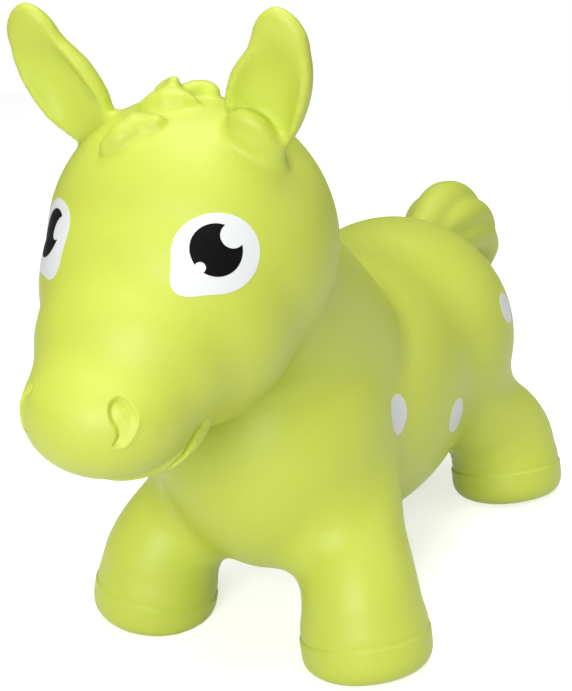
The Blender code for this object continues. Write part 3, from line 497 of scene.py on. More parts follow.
def puff_out(mesh, passes, soft=1.0):
    """Air pressure in the corners: only points whose neighbours lie further out move out.

    soft is a share for each point: 1 rounds its corner fully and 0 leaves it sharp.
    """
    points, ends, count = net_of(mesh)
    for _ in range(passes):
        put_points(mesh, points)
        normals = normals_of(mesh)
        lean = neighbour_mean(points, ends, count) - points
        outward = (lean * normals).sum(1)
        slide = lean - outward[:, None] * normals
        points += SLIDE_SHARE * slide + (soft * PUFF_SHARE * np.maximum(outward, 0))[:, None] * normals
    put_points(mesh, points)


def even_out(mesh, passes, where=1.0):
    """Smooth away small unevenness and keep the volume. where is a share for each point."""
    points, ends, count = net_of(mesh)
    for _ in range(passes):
        for step in EVEN_STEPS:
            lean = neighbour_mean(points, ends, count) - points
            points += step * np.reshape(where, (-1, 1)) * lean
    put_points(mesh, points)


def melt(name, forms, voxel, passes):
    """One surface over overlapping forms, with its inner corners puffed out."""
    pick(*forms)
    bpy.ops.object.join()
    item = bpy.context.object
    item.name = name
    remesh = item.modifiers.new("one_surface", "REMESH")
    remesh.mode = "VOXEL"
    remesh.voxel_size = voxel
    apply_all(item)
    puff_out(item.data, passes)
    return item


def foot(side, end):
    """Where a foot stands and how its hoof leans. end is -1 in front and 1 behind."""
    x, y = FRONT_FOOT if end < 0 else REAR_FOOT
    lean = Matrix.Rotation(side * -HOOF_LEAN_OUT, 4, "Y") @ Matrix.Rotation(-HOOF_TOE_UP, 4, "X")
    return Vector((side * x, y, 0)), lean


def trunk():
    """Chest, barrel, rump and the four legs."""
    forms = [ball("chest", *CHEST), ball("barrel", *BARREL), ball("rump", *RUMP)]
    for side in (1, -1):
        for end, hip_y in ((-1, FRONT_HIP_Y), (1, REAR_HIP_Y)):
            place, lean = foot(side, end)
            shank = place + lean @ Vector((0, 0, SHANK_Z))
            ankle = place + lean @ Vector((0, 0, HOOF_HEIGHT))
            hip = Vector((side * HIP_X, hip_y, HIP_Z))
            forms.append(hoof("hoof", place, lean))
            thigh = hip.lerp(shank, THIGH_PLACE_SHARE)
            stations = (
                (hip, HIP_RADIUS),
                (thigh, THIGH_RADIUS),
                (shank, SHANK_RADIUS),
                (ankle, ANKLE_RADIUS),
            )
            forms.append(limb("shaft", stations))
    return melt("trunk", forms, BODY_VOXEL, TRUNK_PASSES)


def head():
    """Skull, cheeks, bridge of the nose and muzzle."""
    forms = [
        ball("skull", *SKULL),
        ball("cheeks", *CHEEKS),
        ball("bridge", *BRIDGE),
        ball("muzzle", *MUZZLE),
    ]
    return melt("head", forms, BODY_VOXEL, HEAD_PASSES)


def ear_frame(side):
    """Root, tip, axis, front and outer directions of an ear."""
    root = Vector((side * EAR_ROOT[0], EAR_ROOT[1], EAR_ROOT[2]))
    tip = Vector((side * EAR_TIP[0], EAR_TIP[1], EAR_TIP[2]))
    axis = (tip - root).normalized()
    front = Vector((side * math.sin(EAR_TURN), -math.cos(EAR_TURN), 0))
    front = (front - axis * front.dot(axis)).normalized()
    return root, tip, axis, front, axis.cross(front) * side


def ear(side):
    """A spoon-shaped leaf with thick rims, hollowed in front."""
    root, tip, axis, front, outer = ear_frame(side)
    bpy.ops.object.select_all(action="DESELECT")
    bpy.ops.mesh.primitive_uv_sphere_add(segments=128, ring_count=64, radius=1, location=(0, 0, 0))
    leaf = bpy.context.object
    across, deep, high = points_of(leaf.data).T
    inner = np.interp(high, EAR_INNER_HIGH, EAR_INNER_WIDTH)
    width = np.where(across < 0, inner, np.interp(high, EAR_OUTER_HIGH, EAR_OUTER_WIDTH))
    rise = np.clip(high, 0, 1)
    level = 1 - np.clip(abs(across) / EAR_SCOOP_WIDE_SHARE, 0, 1) ** 4
    upright = 1 - np.clip(abs(high + EAR_SCOOP_LOW_SHARE) / EAR_SCOOP_HIGH_SHARE, 0, 1) ** 2
    hollow = level * upright**1.5
    plump = np.sign(deep) * abs(deep) ** EAR_PLUMP_POWER
    forward = EAR_HALF_THICKNESS * (1 - EAR_THINNING_SHARE * high) * plump + EAR_RIMS_FORWARD * across**2
    forward += EAR_ENDS_FORWARD * high**2
    forward -= EAR_SCOOP_DEPTH * hollow * np.sqrt(np.clip(deep, 0, 1))
    sideways = width * across - EAR_TIP_INWARD * rise**2
    upward = (tip - root).length / 2 * (high - EAR_SHORTENING_SHARE * rise)
    points = np.array((root + tip) / 2) + upward[:, None] * np.array(axis)
    points = points + forward[:, None] * np.array(front)
    points = points + sideways[:, None] * np.array(outer)
    put_points(leaf.data, points)
    clean_shell(leaf)
    return leaf


def ear_foot():
    """The skin that swells forward in front of the left ear."""
    folds = []
    for shift, radii in EAR_FOOT_LAYERS:
        places = [Vector(place) + Vector(shift) for place in EAR_FOOT_RIDGE]
        folds.append(limb("ear_foot", round_ends(list(zip(places, radii)))))
    return folds


def over_head(tree, x, y):
    """The skin's place and outward direction straight below a point over the head."""
    place, way, _, _ = tree.ray_cast(Vector((x, y, 1)), Vector((0, 0, -1)))
    return place, way


def forelock(head_tree):
    """Leaf-shaped locks of hair that lie on the poll, their points to the pony's right."""
    locks = []
    for knots in LOCKS:
        stations = []
        for (x, y), lift, radius in knots:
            place, way = over_head(head_tree, x, y)
            stations.append((place + way * lift, radius))
        locks.append(limb("lock", round_ends(stations)))
    return locks


def tail():
    """A plait: a middle strand over two pairs of side strands, up, back and down."""
    knots = list(zip(TAIL_PLACES, TAIL_SPREAD_SHARES, TAIL_HANG_SHARES, TAIL_SWELL_SHARES))
    strands = []
    for aside, low, share in TAIL_STRANDS:
        stations = [
            (Vector((aside * spread, y, z - low * hang)), TAIL_RADIUS * share * swell)
            for (y, z), spread, hang, swell in knots
        ]
        strands.append(limb("strand", round_ends(stations)))
    return strands


def lower_lip():
    """The roll under the mouth."""
    half = [(Vector(place), radius) for place, radius in LIP]
    other = [(Vector((-place.x, place.y, place.z)), radius) for place, radius in half[:-1]]
    return limb("lower_lip", round_ends([*other, *reversed(half)]))


# Detail pressed into the fine skin


def near_line(points, line):
    """For each point, the distance to a polyline and the place along it from 0 to 1."""
    line = np.array(line, float)
    best = np.full(len(points), FAR_AWAY)
    along = np.zeros(len(points))
    for i, (a, b) in enumerate(zip(line, line[1:])):
        step = b - a
        t = np.clip(((points - a) @ step) / max(step @ step, 1e-12), 0, 1)
        place = a + t[:, None] * step
        gap = np.linalg.norm(points - place, axis=1)
        closer = gap < best
        best[closer] = gap[closer]
        along[closer] = (i + t[closer]) / (len(line) - 1)
    return best, along


def refine(item, chosen, cuts):
    """Subdivide the faces whose corners are all chosen points."""
    choose(item, chosen)
    bpy.ops.mesh.subdivide(number_cuts=cuts, smoothness=0)
    out_of_edit()


def on_skin(tree, line):
    return [tree.find_nearest(Vector(point))[0] for point in line]


def curved(line, steps):
    """More points on a smooth curve through a line's points."""
    line = [Vector(point) for point in line]
    whole = [2 * line[0] - line[1], *line, 2 * line[-1] - line[-2]]
    out = []
    for a, b, c, d in zip(whole, whole[1:], whole[2:], whole[3:]):
        for i in range(steps):
            t = i / steps
            bend = (2 * a - 5 * b + 4 * c - d) * t**2
            swing = (3 * b - a - 3 * c + d) * t**3
            out.append(0.5 * (2 * b + (c - a) * t + bend + swing))
    return [*out, line[-1]]


def tree_of(item):
    """An object's surface, ready to be searched."""
    corners, starts = corners_of(item.data)
    faces = [part.tolist() for part in np.split(corners, starts[1:])]
    return BVHTree.FromPolygons([Vector(point) for point in points_of(item.data)], faces)


def mouth_line(tree):
    """The whole line of the mouth on the skin, from the right corner to the left one."""
    half = [Vector(point) for point in MOUTH]
    other = [Vector((-point.x, point.y, point.z)) for point in half[:-1]]
    return on_skin(tree, curved([*other, *reversed(half)], MOUTH_CURVE_STEPS))


def from_nostril(points, side):
    """Each point's place seen from a nostril, mirrored to the left side."""
    return points * np.array((side, 1, 1)) - np.array(NOSTRIL_PLACE)


def nostril_dent(points, side):
    """How far each point moves along its normal for one nostril."""
    way = Vector(NOSTRIL_WAY).normalized()
    left = Vector((0, 0, 1)).cross(way).normalized()
    up = way.cross(left)
    place = from_nostril(points, side) * MILLIMETRES
    flat = np.stack([place @ np.array(left), place @ np.array(up), np.zeros(len(points))], axis=1)
    close = np.abs(flat).max(1) < NOSTRIL_REACH * MILLIMETRES
    close &= abs(place @ np.array(way)) < NOSTRIL_THROUGH * MILLIMETRES
    shape = [*NOSTRIL_EDGE, *NOSTRIL_SLOPE]
    ring = curved([(x, y, 0) for x, y in (*shape, shape[0])], NOSTRIL_CURVE_STEPS)
    inside = np.zeros(close.sum(), bool)
    x, y = flat[close, 0], flat[close, 1]
    for a, b in zip(ring, ring[1:]):
        if a.y != b.y:
            inside ^= ((a.y > y) != (b.y > y)) & (x < (b.x - a.x) * (y - a.y) / (b.y - a.y) + a.x)
    turn = NOSTRIL_CURVE_STEPS * (len(NOSTRIL_EDGE) - 1)
    steep = near_line(flat[close], ring[: turn + 1])[0]
    easy = near_line(flat[close], ring[turn:])[0]
    wall = np.clip(steep / NOSTRIL_WALL_MM, 0, 1)
    slope = (easy / (easy + steep + NOSTRIL_SLOPE_FLOOR)) ** NOSTRIL_SLOPE_POWER
    floor = -NOSTRIL_DEPTH * wall**2 * (3 - 2 * wall) * slope
    rim = NOSTRIL_RIM_HEIGHT * np.exp(-((easy / NOSTRIL_RIM_WIDTH_MM) ** 2))
    rim = rim * np.clip(steep / NOSTRIL_RIM_FADE_MM, 0, 1)
    dent = np.zeros(len(points))
    dent[close] = np.where(inside, floor, 0) + rim
    return dent


def press_face(skin):
    """Comma-shaped nostrils with a soft rim, and the crease of the mouth."""
    tree = tree_of(skin)
    mouth = mouth_line(tree)
    points = points_of(skin.data)
    close = near_line(points, mouth)[0] < MOUTH_REACH
    for side in (1, -1):
        close |= np.linalg.norm(from_nostril(points, side), axis=1) < NOSTRIL_REACH
    refine(skin, close, NOSTRIL_CUTS)
    points = points_of(skin.data)
    near = near_line(points, mouth)[0] / MOUTH_REACH
    for side in (1, -1):
        near = np.minimum(near, np.linalg.norm(from_nostril(points, side), axis=1) / NOSTRIL_REACH)
    face = np.clip((1 - near) / FACE_FADE_SHARE, 0, 1)
    even_out(skin.data, FACE_EVEN_PASSES, face)
    points, normals = points_of(skin.data), normals_of(skin.data)
    gap, along = near_line(points, mouth)
    corner = abs(along - 0.5) * 2
    depth = np.interp(corner, MOUTH_DEPTH_SHARES, MOUTH_DEPTHS)
    move = -depth * np.exp(-((gap / MOUTH_GROOVE_WIDTH) ** 2))
    for side in (1, -1):
        move += nostril_dent(points, side)
    put_points(skin.data, points + move[:, None] * normals)
    even_out(skin.data, FACE_LAST_PASSES, face)


def hoof_heights(points, side, end):
    """Which points are near a hoof, how high they are over its ledge, and the ledge's plane."""
    place, lean = foot(side, end)
    up = lean.to_3x3() @ Vector((0, 0, 1))
    line = place + up * HOOF_LINE
    reach = HOOF_RADIUS + HOOF_MARGIN
    close = (abs(points[:, 0] - place.x) < reach) & (abs(points[:, 1] - place.y) < reach)
    return close, (points - np.array(line)) @ np.array(up), line, up


def press_hooves(skin):
    """The moulded ledge round the top of each hoof."""
    for side in (1, -1):
        for end in (-1, 1):
            for lift in LEDGE_CUTS:
                close, height, line, up = hoof_heights(points_of(skin.data), side, end)
                choose(skin, close & (abs(height) < LEDGE_REACH))
                bpy.ops.mesh.bisect(plane_co=line + up * lift, plane_no=up, threshold=LEDGE_WELD)
                out_of_edit()
            points, normals = points_of(skin.data), normals_of(skin.data)
            close, height, _, _ = hoof_heights(points, side, end)
            swell = np.where(close & (height < LEDGE_EDGE), HOOF_STEP, 0)
            swell = swell * np.clip(points[:, 2] / LEDGE_SOLE_FADE, 0, 1)
            groove = -GROOVE_DEPTH * np.exp(-(((height - GROOVE_RISE) / GROOVE_WIDTH) ** 2))
            groove = np.where(close & (height > LEDGE_EDGE), groove, 0)
            put_points(skin.data, points + (swell + groove)[:, None] * normals)


def flatten_soles(mesh):
    points = points_of(mesh)
    points[:, 2] = np.maximum(points[:, 2], 0)
    put_points(mesh, points)


def corner_softness(points, tree):
    """1 where the air rounds the inner corners fully, and near 0 where the moulding keeps them crisp."""
    lip = [place for place, _ in LIP]
    crisp = [
        (lip, LIP_REACH, 0),
        ([(-x, y, z) for x, y, z in lip], LIP_REACH, 0),
        (EAR_CREASE, CREASE_REACH, 0),
    ]
    for knots in LOCKS:
        crisp.append(([over_head(tree, x, y)[0] for (x, y), _, _ in knots], LOCK_REACH, 0))
    for aside, low, _ in TAIL_STRANDS:
        crisp.append(([(aside, y, z - low) for y, z in TAIL_PLACES[1:]], STRAND_REACH, TAIL_SOFTNESS))
    soft = np.ones(len(points))
    for line, reach, least in crisp:
        soft = np.minimum(soft, np.clip((near_line(points, line)[0] - reach) / CRISP_FADE, least, 1))
    return soft


def whole_skin():
    """The complete moulding as one fine surface."""
    neck = limb("neck", NECK, fineness=24)
    plain = melt("plain_skin", [trunk(), neck, head()], BODY_VOXEL, PLAIN_PASSES)
    even_out(plain.data, PLAIN_EVEN_PASSES)
    nose = np.clip((NOSE_START_Y - points_of(plain.data)[:, 1]) / NOSE_FADE, 0, 1)
    even_out(plain.data, NOSE_EVEN_PASSES, nose)
    smooth = plain.modifiers.new("finer", "SUBSURF")
    smooth.levels = 1
    smooth.render_levels = 1
    apply_all(plain)
    tree = tree_of(plain)
    details = [ear(1), ear(-1), *ear_foot(), *forelock(tree), *tail(), lower_lip()]
    skin = melt("skin", [plain, *details], SKIN_VOXEL, JOINING_PASSES)
    soft = corner_softness(points_of(skin.data), tree)
    puff_out(skin.data, CORNER_PASSES, soft)
    even_out(skin.data, SKIN_EVEN_PASSES, CRISP_EVEN_SHARE + (1 - CRISP_EVEN_SHARE) * soft)
    rims = np.clip((points_of(skin.data)[:, 2] - EAR_EDGE_Z) / EAR_EDGE_FADE, 0, 1)
    even_out(skin.data, EAR_EVEN_PASSES, soft * rims)
    flatten_soles(skin.data)
    press_face(skin)
    press_hooves(skin)
    return skin


def sink_valve(skin):
    """The round hole that the valve's seat is pushed into."""
    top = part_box("valve_seat")[1][2]
    middle = (0, VALVE_Y, top - SEAT_HEIGHT)
    cut_away(skin, drum("drill", SEAT_RADIUS + PIECE_GAP, 2 * SEAT_HEIGHT, middle, 64), "MANIFOLD")


# Parting the skin where it bends


def zone_planes():
    """For each bending zone: name, bodies, the planes round it, and where its bend starts and ends."""
    zones = []
    for side, hand in ((1, "left"), (-1, "right")):
        root, _, axis, _, _ = ear_frame(side)
        first = root + axis * EAR_CUT_RISE
        beside = (Vector((side * EAR_INNER_X, 0, 0)), Vector((side, 0, 0)))
        last = first + axis * EAR_BEND_LENGTH
        zones.append((f"{hand}_ear", "head", f"{hand}_ear", [(first, axis), beside], first, last))
        rise = Vector((-side * math.sin(LEG_CUT_RISE), 0, math.cos(LEG_CUT_RISE)))
        for end, place in ((-1, "front"), (1, "rear")):
            stand, _ = foot(side, end)
            top = Vector((side * LEG_CUT_X, 0, LEG_CUT_Z))
            planes = [
                (top, -rise),
                (Vector((side * MIDLINE_CLEARANCE, 0, 0)), Vector((side, 0, 0))),
                (Vector((0, stand.y - end * LEG_ZONE_LENGTH, 0)), Vector((0, end, 0))),
            ]
            aside = abs(stand.x) - LEG_CUT_X
            start = top + Vector((side * aside, stand.y, math.tan(LEG_CUT_RISE) * aside))
            stop = start - rise * LEG_BEND_LENGTH
            zones.append((f"{place}_{hand}_leg", "body", f"{place}_{hand}_hoof", planes, start, stop))
    way = Vector((0, math.cos(TAIL_CUT_PITCH), math.sin(TAIL_CUT_PITCH)))
    first = Vector(TAIL_CUT)
    zones.append(("tail", "body", "tail", [(first, way)], first, first + way * TAIL_BEND_LENGTH))
    way = Vector((0, -math.sin(NECK_PITCH), math.cos(NECK_PITCH)))
    first = Vector(NECK_MIDDLE) - way * NECK_BEND_LENGTH / 2
    last = Vector(NECK_MIDDLE) + way * NECK_BEND_LENGTH / 2
    zones.append(("head", "head", "head", [(last, way)], first, last))
    zones.append(("neck", "body", "head", [(first, way)], first, last))
    return zones


def in_front(points, planes, slack):
    """Which points lie in front of all the planes, or behind them by no more than the slack."""
    inside = np.ones(len(points), bool)
    for place, way in planes:
        inside &= (points - np.array(place)) @ np.array(way) > -slack
    return inside


def close_holes(item):
    into_edit(item)
    bpy.ops.mesh.select_all(action="SELECT")
    bpy.ops.mesh.fill_holes(sides=0)
    out_of_edit()


def keep_shading(item):
    """Shade a piece with the normals that its points had in the uncut skin, so that no seam shows."""
    pick(item)
    bpy.ops.object.shade_smooth()
    kept = np.empty(len(item.data.vertices) * 3)
    item.data.attributes["skin_normal"].data.foreach_get("vector", kept)
    item.data.normals_split_custom_set_from_vertices(kept.reshape(-1, 3))
    item.data.attributes.remove(item.data.attributes["skin_normal"])


def part_skin(skin, zones):
    """Cut the skin into its zones. Returns the pieces by name, and the skin keeps the rest."""
    for _, _, _, planes, _, _ in zones:
        choose(skin, in_front(points_of(skin.data), planes, PARTING_MARGIN))
        bpy.ops.mesh.bisect(plane_co=planes[0][0], plane_no=planes[0][1], threshold=CUT_WELD)
        out_of_edit()
    kept = skin.data.attributes.new("skin_normal", "FLOAT_VECTOR", "POINT")
    kept.data.foreach_set("vector", normals_of(skin.data).ravel())
    made = {}
    for name, _, _, planes, _, _ in zones:
        choose(skin, in_front(points_of(skin.data), planes, PARTING_SLACK))
        bpy.ops.mesh.separate(type="SELECTED")
        out_of_edit()
        made[name] = next(item for item in bpy.context.selected_objects if item != skin)
        made[name].name = f"{name}_skin_inflated"
    for item in (skin, *made.values()):
        close_holes(item)
        keep_shading(item)
    return made


skin = whole_skin()
skin_tree = tree_of(skin)
sink_valve(skin)
zones = zone_planes()
pieces = part_skin(skin, zones)
skin.name = "body_skin_inflated"


# Looks


class Flow:
    """A number running through a material, so that shader sums are written as sums."""

    def __init__(self, paint, socket):
        self.paint = paint
        self.socket = socket

    def maths(self, operation, first, second, clamp=False):
        settings = {"operation": operation, "use_clamp": clamp}
        node = self.paint.node("ShaderNodeMath", settings, {0: first, 1: second})
        return Flow(self.paint, node.outputs[0])

    def __add__(self, other):
        return self.maths("ADD", self, other)

    def __radd__(self, other):
        return self.maths("ADD", other, self)

    def __sub__(self, other):
        return self.maths("SUBTRACT", self, other)

    def __rsub__(self, other):
        return self.maths("SUBTRACT", other, self)

    def __mul__(self, other):
        return self.maths("MULTIPLY", self, other)

    def within(self, low, high):
        """0 at low, 1 at high and straight between."""
        return self.maths("MULTIPLY", self - low, 1 / (high - low), clamp=True)


class Paint:
    """A material under construction."""

    def __init__(self, name):
        self.material = bpy.data.materials.new(name)
        self.material.use_nodes = True
        self.tree = self.material.node_tree
        self.shader = self.tree.nodes["Principled BSDF"]
        self.coordinates = self.node("ShaderNodeTexCoord", {}, {}).outputs["Object"]

    def node(self, kind, settings, inputs):
        node = self.tree.nodes.new(kind)
        for key, value in settings.items():
            setattr(node, key, value)
        for key, value in inputs.items():
            self.join(node.inputs[key], value)
        return node

    def join(self, socket, value):
        if isinstance(value, Flow):
            value = value.socket
        if isinstance(value, bpy.types.NodeSocket):
            self.tree.links.new(value, socket)
        else:
            socket.default_value = value

    def noise(self, scale, detail=2, roughness=0.5):
        inputs = {"Vector": self.coordinates, "Scale": scale, "Detail": detail, "Roughness": roughness}
        node = self.node("ShaderNodeTexNoise", {}, inputs)
        return Flow(self, node.outputs["Fac"])

    def mix(self, share, first, second):
        node = self.node("ShaderNodeMix", {"data_type": "RGBA"}, {"Factor": share, 6: first, 7: second})
        return node.outputs[2]

    def height(self):
        node = self.node("ShaderNodeSeparateXYZ", {}, {"Vector": self.coordinates})
        return Flow(self, node.outputs["Z"])

    def bump(self, height, strength, distance):
        inputs = {"Height": height, "Strength": strength, "Distance": distance}
        node = self.node("ShaderNodeBump", {}, inputs)
        return node.outputs["Normal"]

    def finish(self, **sockets):
        for key, value in sockets.items():
            self.join(self.shader.inputs[key.replace("_", " ")], value)
        return self.material


def rgb(red, green, blue):
    """A colour as a screen shows it, made linear."""
    out = []
    for part in (red, green, blue):
        share = part / 255
        out.append(share / 12.92 if share <= 0.04045 else ((share + 0.055) / 1.055) ** 2.4)
    return (*out, 1)


def vinyl():
    """Satin lime vinyl with faint clouds in the pigment, moulded grain and scuffed soles."""
    paint = Paint("lime_vinyl")
    clouds = paint.noise(7, 2).within(0.35, 0.65)
    flecks = paint.noise(260, 3).within(0.3, 0.7)
    lime = paint.mix(clouds, rgb(215, 230, 84), rgb(219, 233, 90))
    lime = paint.mix(flecks * 0.10, lime, rgb(200, 216, 74))
    scuff = (1 - paint.height().within(0.0, 0.007)) * paint.noise(90, 4, 0.6).within(0.45, 0.75)
    lime = paint.mix(scuff * 0.35, lime, rgb(168, 172, 96))
    grain = paint.noise(1500, 2) * 0.35 + paint.noise(38, 2)
    return paint.finish(
        Base_Color=lime,
        Specular_IOR_Level=0.6,
        Roughness=0.44 + paint.noise(45, 3) * 0.08 + scuff * 0.2,
        Normal=paint.bump(grain, strength=0.12, distance=0.0008),
    )


def ink(name, colour, deep, rough, shine=0.5):
    """A printed layer: slightly uneven satin ink."""
    paint = Paint(name)
    cover = paint.noise(420, 3).within(0.35, 0.7)
    return paint.finish(
        Base_Color=paint.mix(cover * 0.5, colour, deep),
        Specular_IOR_Level=shine,
        Roughness=rough + paint.noise(150, 2) * 0.08,
        Normal=paint.bump(paint.noise(1500, 2), strength=0.08, distance=0.0004),
    )


def soft_plastic():
    """Milky plastic of the air valve."""
    paint = Paint("valve_plastic")
    cloud = paint.noise(160, 3).within(0.3, 0.7)
    return paint.finish(
        Base_Color=paint.mix(cloud, rgb(226, 229, 214), rgb(214, 219, 200)),
        Roughness=0.32 + paint.noise(300, 2) * 0.1,
        Normal=paint.bump(paint.noise(900, 2), strength=0.06, distance=0.0004),
    )


LIME = vinyl()
WHITE_INK = ink("white_ink", rgb(249, 252, 251), rgb(242, 246, 244), 0.38)
SPOT_INK = ink("spot_ink", rgb(252, 253, 252), rgb(246, 248, 246), 0.40)
BLACK_INK = ink("black_ink", rgb(10, 10, 13), rgb(14, 14, 18), 0.45, 0.12)
VALVE_PLASTIC = soft_plastic()


def dress(piece, material):
    piece.data.materials.clear()
    piece.data.materials.append(material)


REPLACED = {
    "left_ear": ("left_ear", "left_ear_root"),
    "right_ear": ("right_ear", "right_ear_root"),
    "tail": ("tail", "tail_root"),
    "head": ("head_skin",),
    "neck": ("neck_skin",),
}
for name, parent, child, _, start, end in zones:
    dress(pieces[name], LIME)
    if parent == child:
        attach(pieces[name], parent)
    else:
        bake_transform(pieces[name])
    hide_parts(*REPLACED.get(name, (name, child)))

dress(skin, LIME)
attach(skin, "body")
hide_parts("body_skin")


# Ink on the skin: how high over it each layer starts and ends, and the grid by which it follows the skin
WHITE_LAYER = (0.00008, 0.00025)
BLACK_LAYER = (0.00032, 0.00045)
INK_GRID = 0.0016
INK_WELD = 0.0000005
SPOT_POINTS = 72
EYE_POINTS = 120
CASTING_HEIGHT = 0.03
PLATE_DEPTH = 0.002
DRILL_DEPTH = 0.01


def eye_shape(angle, nose_side):
    """How far the white of the eye reaches at an angle: round, with a soft corner low towards the nose."""
    corner = math.pi / 2 + nose_side * (math.pi / 2 + EYE_CORNER_BELOW)
    away = (angle - corner + math.pi) % (2 * math.pi) - math.pi
    reach = 1 + EYE_CORNER_SHARE * math.exp(-((away / EYE_CORNER_SPREAD) ** 2))
    return EYE_WIDTH / 2 * reach * math.cos(angle), EYE_HEIGHT / 2 * reach * math.sin(angle)


def disc(name, outline):
    """A flat plate with this outline."""
    bpy.ops.object.select_all(action="DESELECT")
    bpy.ops.mesh.primitive_circle_add(vertices=len(outline), radius=1, fill_type="NGON")
    item = bpy.context.object
    item.name = name
    for vertex, (x, y) in zip(item.data.vertices, outline):
        vertex.co = (x, y, 0)
    return item


def score(item):
    """Cut a flat plate along a fine grid, so that it can follow the skin."""
    size = max(max(abs(v.co.x), abs(v.co.y)) for v in item.data.vertices)
    into_edit(item)
    steps = int(size / INK_GRID)
    for way in (Vector((1, 0, 0)), Vector((0, 1, 0))):
        for i in range(-steps, steps + 1):
            bpy.ops.mesh.select_all(action="SELECT")
            bpy.ops.mesh.bisect(plane_co=way * i * INK_GRID, plane_no=way, threshold=CUT_WELD)
    out_of_edit()


def lay_on(item, place, tree, low, high):
    """Lay a flat plate on the skin along its own Z and give it a thickness between two heights."""
    way = (place.to_3x3() @ Vector((0, 0, 1))).normalized()
    mesh = item.data
    mesh.transform(place)
    for vertex in mesh.vertices:
        hit, normal, _, _ = tree.ray_cast(vertex.co + way * CASTING_HEIGHT, -way)
        vertex.co = hit + normal * high
    thick = item.modifiers.new("ink_film", "SOLIDIFY")
    thick.thickness = high - low
    thick.offset = -1
    apply_all(item)
    clean_shell(item, INK_WELD)
    bpy.ops.object.shade_smooth_by_angle(angle=math.radians(50))


def around(radius):
    turns = [2 * math.pi * i / SPOT_POINTS for i in range(SPOT_POINTS)]
    return [(radius * math.cos(turn), radius * math.sin(turn)) for turn in turns]


def pupil_plate(name):
    """A round pupil with its two highlights cut out."""
    plate = drum(name, PUPIL_RADIUS, PLATE_DEPTH, (0, PUPIL_RISE, 0))
    for x, y, radius in GLINTS:
        cut_away(plate, drum("drill", radius, DRILL_DEPTH, (x, y + PUPIL_RISE, 0), 64), "EXACT")
    into_edit(plate)
    out_of_edit()
    # Only the top face stays, as a flat plate
    for face in plate.data.polygons:
        face.select = face.normal.z < 0.5
    bpy.ops.object.mode_set(mode="EDIT")
    bpy.ops.mesh.delete(type="FACE")
    out_of_edit()
    for vertex in plate.data.vertices:
        vertex.co.z = 0
    return plate


def seat_on(tree, start, out):
    """A frame on the skin nearest a place: Z along the way out, Y up along the skin."""
    place = tree.find_nearest(Vector(start))[0]
    side = Vector((0, 0, 1)).cross(out).normalized()
    made = Matrix((side, out.cross(side), out)).transposed().to_4x4()
    made.translation = place
    return made


def way_out(tree, start, spread):
    """The mean outward direction of the skin round a place on the flank."""
    total = Vector((0, 0, 0))
    for i in range(8):
        angle = math.pi / 4 * i
        beside = Vector(start) + spread * Vector((0, math.cos(angle), math.sin(angle)))
        total += tree.find_nearest(beside)[1]
    return total.normalized()


for side, hand in ((1, "left"), (-1, "right")):
    turn = Vector((side * math.sin(EYE_TURN), -math.cos(EYE_TURN), math.tan(EYE_TILT))).normalized()
    place = seat_on(skin_tree, (side * EYE[0], EYE[1], EYE[2]), turn)
    outline = [eye_shape(2 * math.pi * i / EYE_POINTS, side) for i in range(EYE_POINTS)]
    white = disc(f"{hand}_eye_ink", outline)
    score(white)
    lay_on(white, place, skin_tree, *WHITE_LAYER)
    dress(white, WHITE_INK)
    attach(white, "head")
    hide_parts(f"{hand}_eye_white")
    black = pupil_plate(f"{hand}_pupil_ink")
    score(black)
    lay_on(black, place, skin_tree, *BLACK_LAYER)
    dress(black, BLACK_INK)
    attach(black, "head")
    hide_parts(f"{hand}_pupil")
    for i, (y, z, radius) in enumerate(SPOTS, 1):
        start = (side * BARREL[1][0], y, z)
        place = seat_on(skin_tree, start, way_out(skin_tree, start, radius))
        spot = disc(f"{hand}_spot_{i}_ink", around(radius))
        score(spot)
        lay_on(spot, place, skin_tree, *WHITE_LAYER)
        dress(spot, SPOT_INK)
        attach(spot, "body")
        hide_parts(f"{hand}_spot_{i}")

for node in ("valve_seat", "air_plug"):
    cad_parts[node].data.materials.clear()
    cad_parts[node].data.materials.append(VALVE_PLASTIC)


# Floor, light and camera
FLOOR_SIZE = 3.2
FLOOR_GLOW = 0.62
FLOOR_TONE = 0.88
FLOOR_TONE_UNSEEN = 0.45
AIR_LIGHT = 0.20
LIGHT_TARGET = (0, -0.05, 0.2)

# The camera that was fitted to the photograph. The pixels are the photograph's.
CAMERA_TURN = math.radians(30)
CAMERA_RISE = math.radians(20.4)
CAMERA_ROLL = math.radians(-3.6)
CAMERA_TARGET = (0, -0.07456, 0.21672)
CAMERA_DISTANCE = 1.07808
SENSOR_WIDTH_MM = 36
PHOTO_HEIGHT_PX = 691
FOCAL_LENGTH_PX = 1500
SHIFT_RIGHT_PX = 20
SHIFT_UP_PX = -1


def grey(share):
    return (share, share, share, 1)


def stage_floor():
    """A pale floor that lights up where the camera or a reflection sees it, and stays dull elsewhere."""
    bpy.ops.object.select_all(action="DESELECT")
    bpy.ops.mesh.primitive_plane_add(size=FLOOR_SIZE, location=(0, 0, 0))
    floor = bpy.context.object
    floor.name = "studio_floor"
    apply_all(floor)
    paint = Paint("studio_floor")
    light = paint.node("ShaderNodeLightPath", {}, {})
    shine = Flow(paint, light.outputs["Is Camera Ray"]) + Flow(paint, light.outputs["Is Glossy Ray"])
    glow = paint.mix(shine, grey(0), grey(FLOOR_GLOW))
    tone = paint.mix(shine, grey(FLOOR_TONE_UNSEEN), grey(FLOOR_TONE))
    paint.finish(Base_Color=tone, Roughness=0.9, Emission_Color=glow, Emission_Strength=1.0)
    floor.data.materials.append(paint.material)


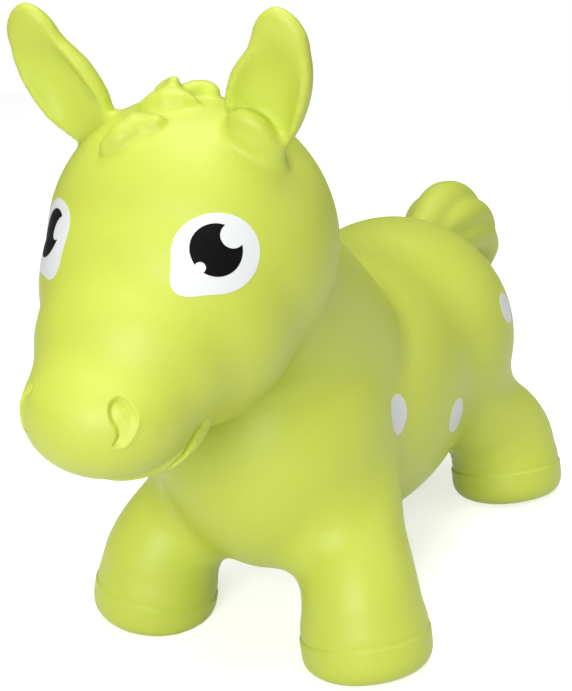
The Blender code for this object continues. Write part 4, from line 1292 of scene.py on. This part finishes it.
def stage_world():
    """A white backdrop for the camera, and a dimmer light from all round for everything else."""
    world = bpy.data.worlds.new("studio")
    bpy.context.scene.world = world
    world.use_nodes = True
    tree = world.node_tree
    tree.nodes.clear()
    path = tree.nodes.new("ShaderNodeLightPath")
    seen = tree.nodes.new("ShaderNodeMath")
    seen.operation = "ADD"
    seen.use_clamp = True
    tree.links.new(path.outputs["Is Camera Ray"], seen.inputs[0])
    tree.links.new(path.outputs["Is Transmission Ray"], seen.inputs[1])
    air = tree.nodes.new("ShaderNodeBackground")
    air.inputs["Color"].default_value = (1, 1, 1, 1)
    air.inputs["Strength"].default_value = AIR_LIGHT
    backdrop = tree.nodes.new("ShaderNodeBackground")
    backdrop.inputs["Color"].default_value = (1, 1, 1, 1)
    backdrop.inputs["Strength"].default_value = 1.0
    mix = tree.nodes.new("ShaderNodeMixShader")
    tree.links.new(seen.outputs[0], mix.inputs["Fac"])
    tree.links.new(air.outputs[0], mix.inputs[1])
    tree.links.new(backdrop.outputs[0], mix.inputs[2])
    out = tree.nodes.new("ShaderNodeOutputWorld")
    tree.links.new(mix.outputs[0], out.inputs["Surface"])


def softbox(name, place, size, power):
    """A round area lamp that faces the pony."""
    bpy.ops.object.select_all(action="DESELECT")
    bpy.ops.object.light_add(type="AREA", location=place)
    lamp = bpy.context.object
    lamp.name = name
    lamp.data.shape = "DISK"
    lamp.data.size = size
    lamp.data.energy = power
    lamp.rotation_euler = (Vector(LIGHT_TARGET) - Vector(place)).to_track_quat("-Z", "Y").to_euler()


def aim_camera():
    """The camera, rolled a little and framed off centre."""
    flat = math.cos(CAMERA_RISE)
    back = Vector((math.sin(CAMERA_TURN) * flat, -math.cos(CAMERA_TURN) * flat, math.sin(CAMERA_RISE)))
    level = (-back).cross(Vector((0, 0, 1))).normalized()
    upright = level.cross(-back)
    right = level * math.cos(CAMERA_ROLL) + upright * math.sin(CAMERA_ROLL)
    up = upright * math.cos(CAMERA_ROLL) - level * math.sin(CAMERA_ROLL)
    bpy.ops.object.select_all(action="DESELECT")
    bpy.ops.object.camera_add()
    camera = bpy.context.object
    place = Vector(CAMERA_TARGET) + back * CAMERA_DISTANCE
    camera.matrix_world = Matrix.Translation(place) @ Matrix((right, up, back)).transposed().to_4x4()
    camera.data.sensor_width = SENSOR_WIDTH_MM
    camera.data.lens = FOCAL_LENGTH_PX / PHOTO_HEIGHT_PX * SENSOR_WIDTH_MM
    camera.data.shift_x = SHIFT_RIGHT_PX / PHOTO_HEIGHT_PX
    camera.data.shift_y = SHIFT_UP_PX / PHOTO_HEIGHT_PX
    bpy.context.scene.camera = camera


stage_floor()
stage_world()
softbox("front_light", (0.5, -2.2, 1.0), 1.5, 33)
softbox("top_light", (0, 0, 2.4), 1.8, 29)
softbox("back_light", (1.8, 0.8, 1.2), 1.6, 5)
aim_camera()
bpy.context.scene.view_settings.view_transform = "Standard"
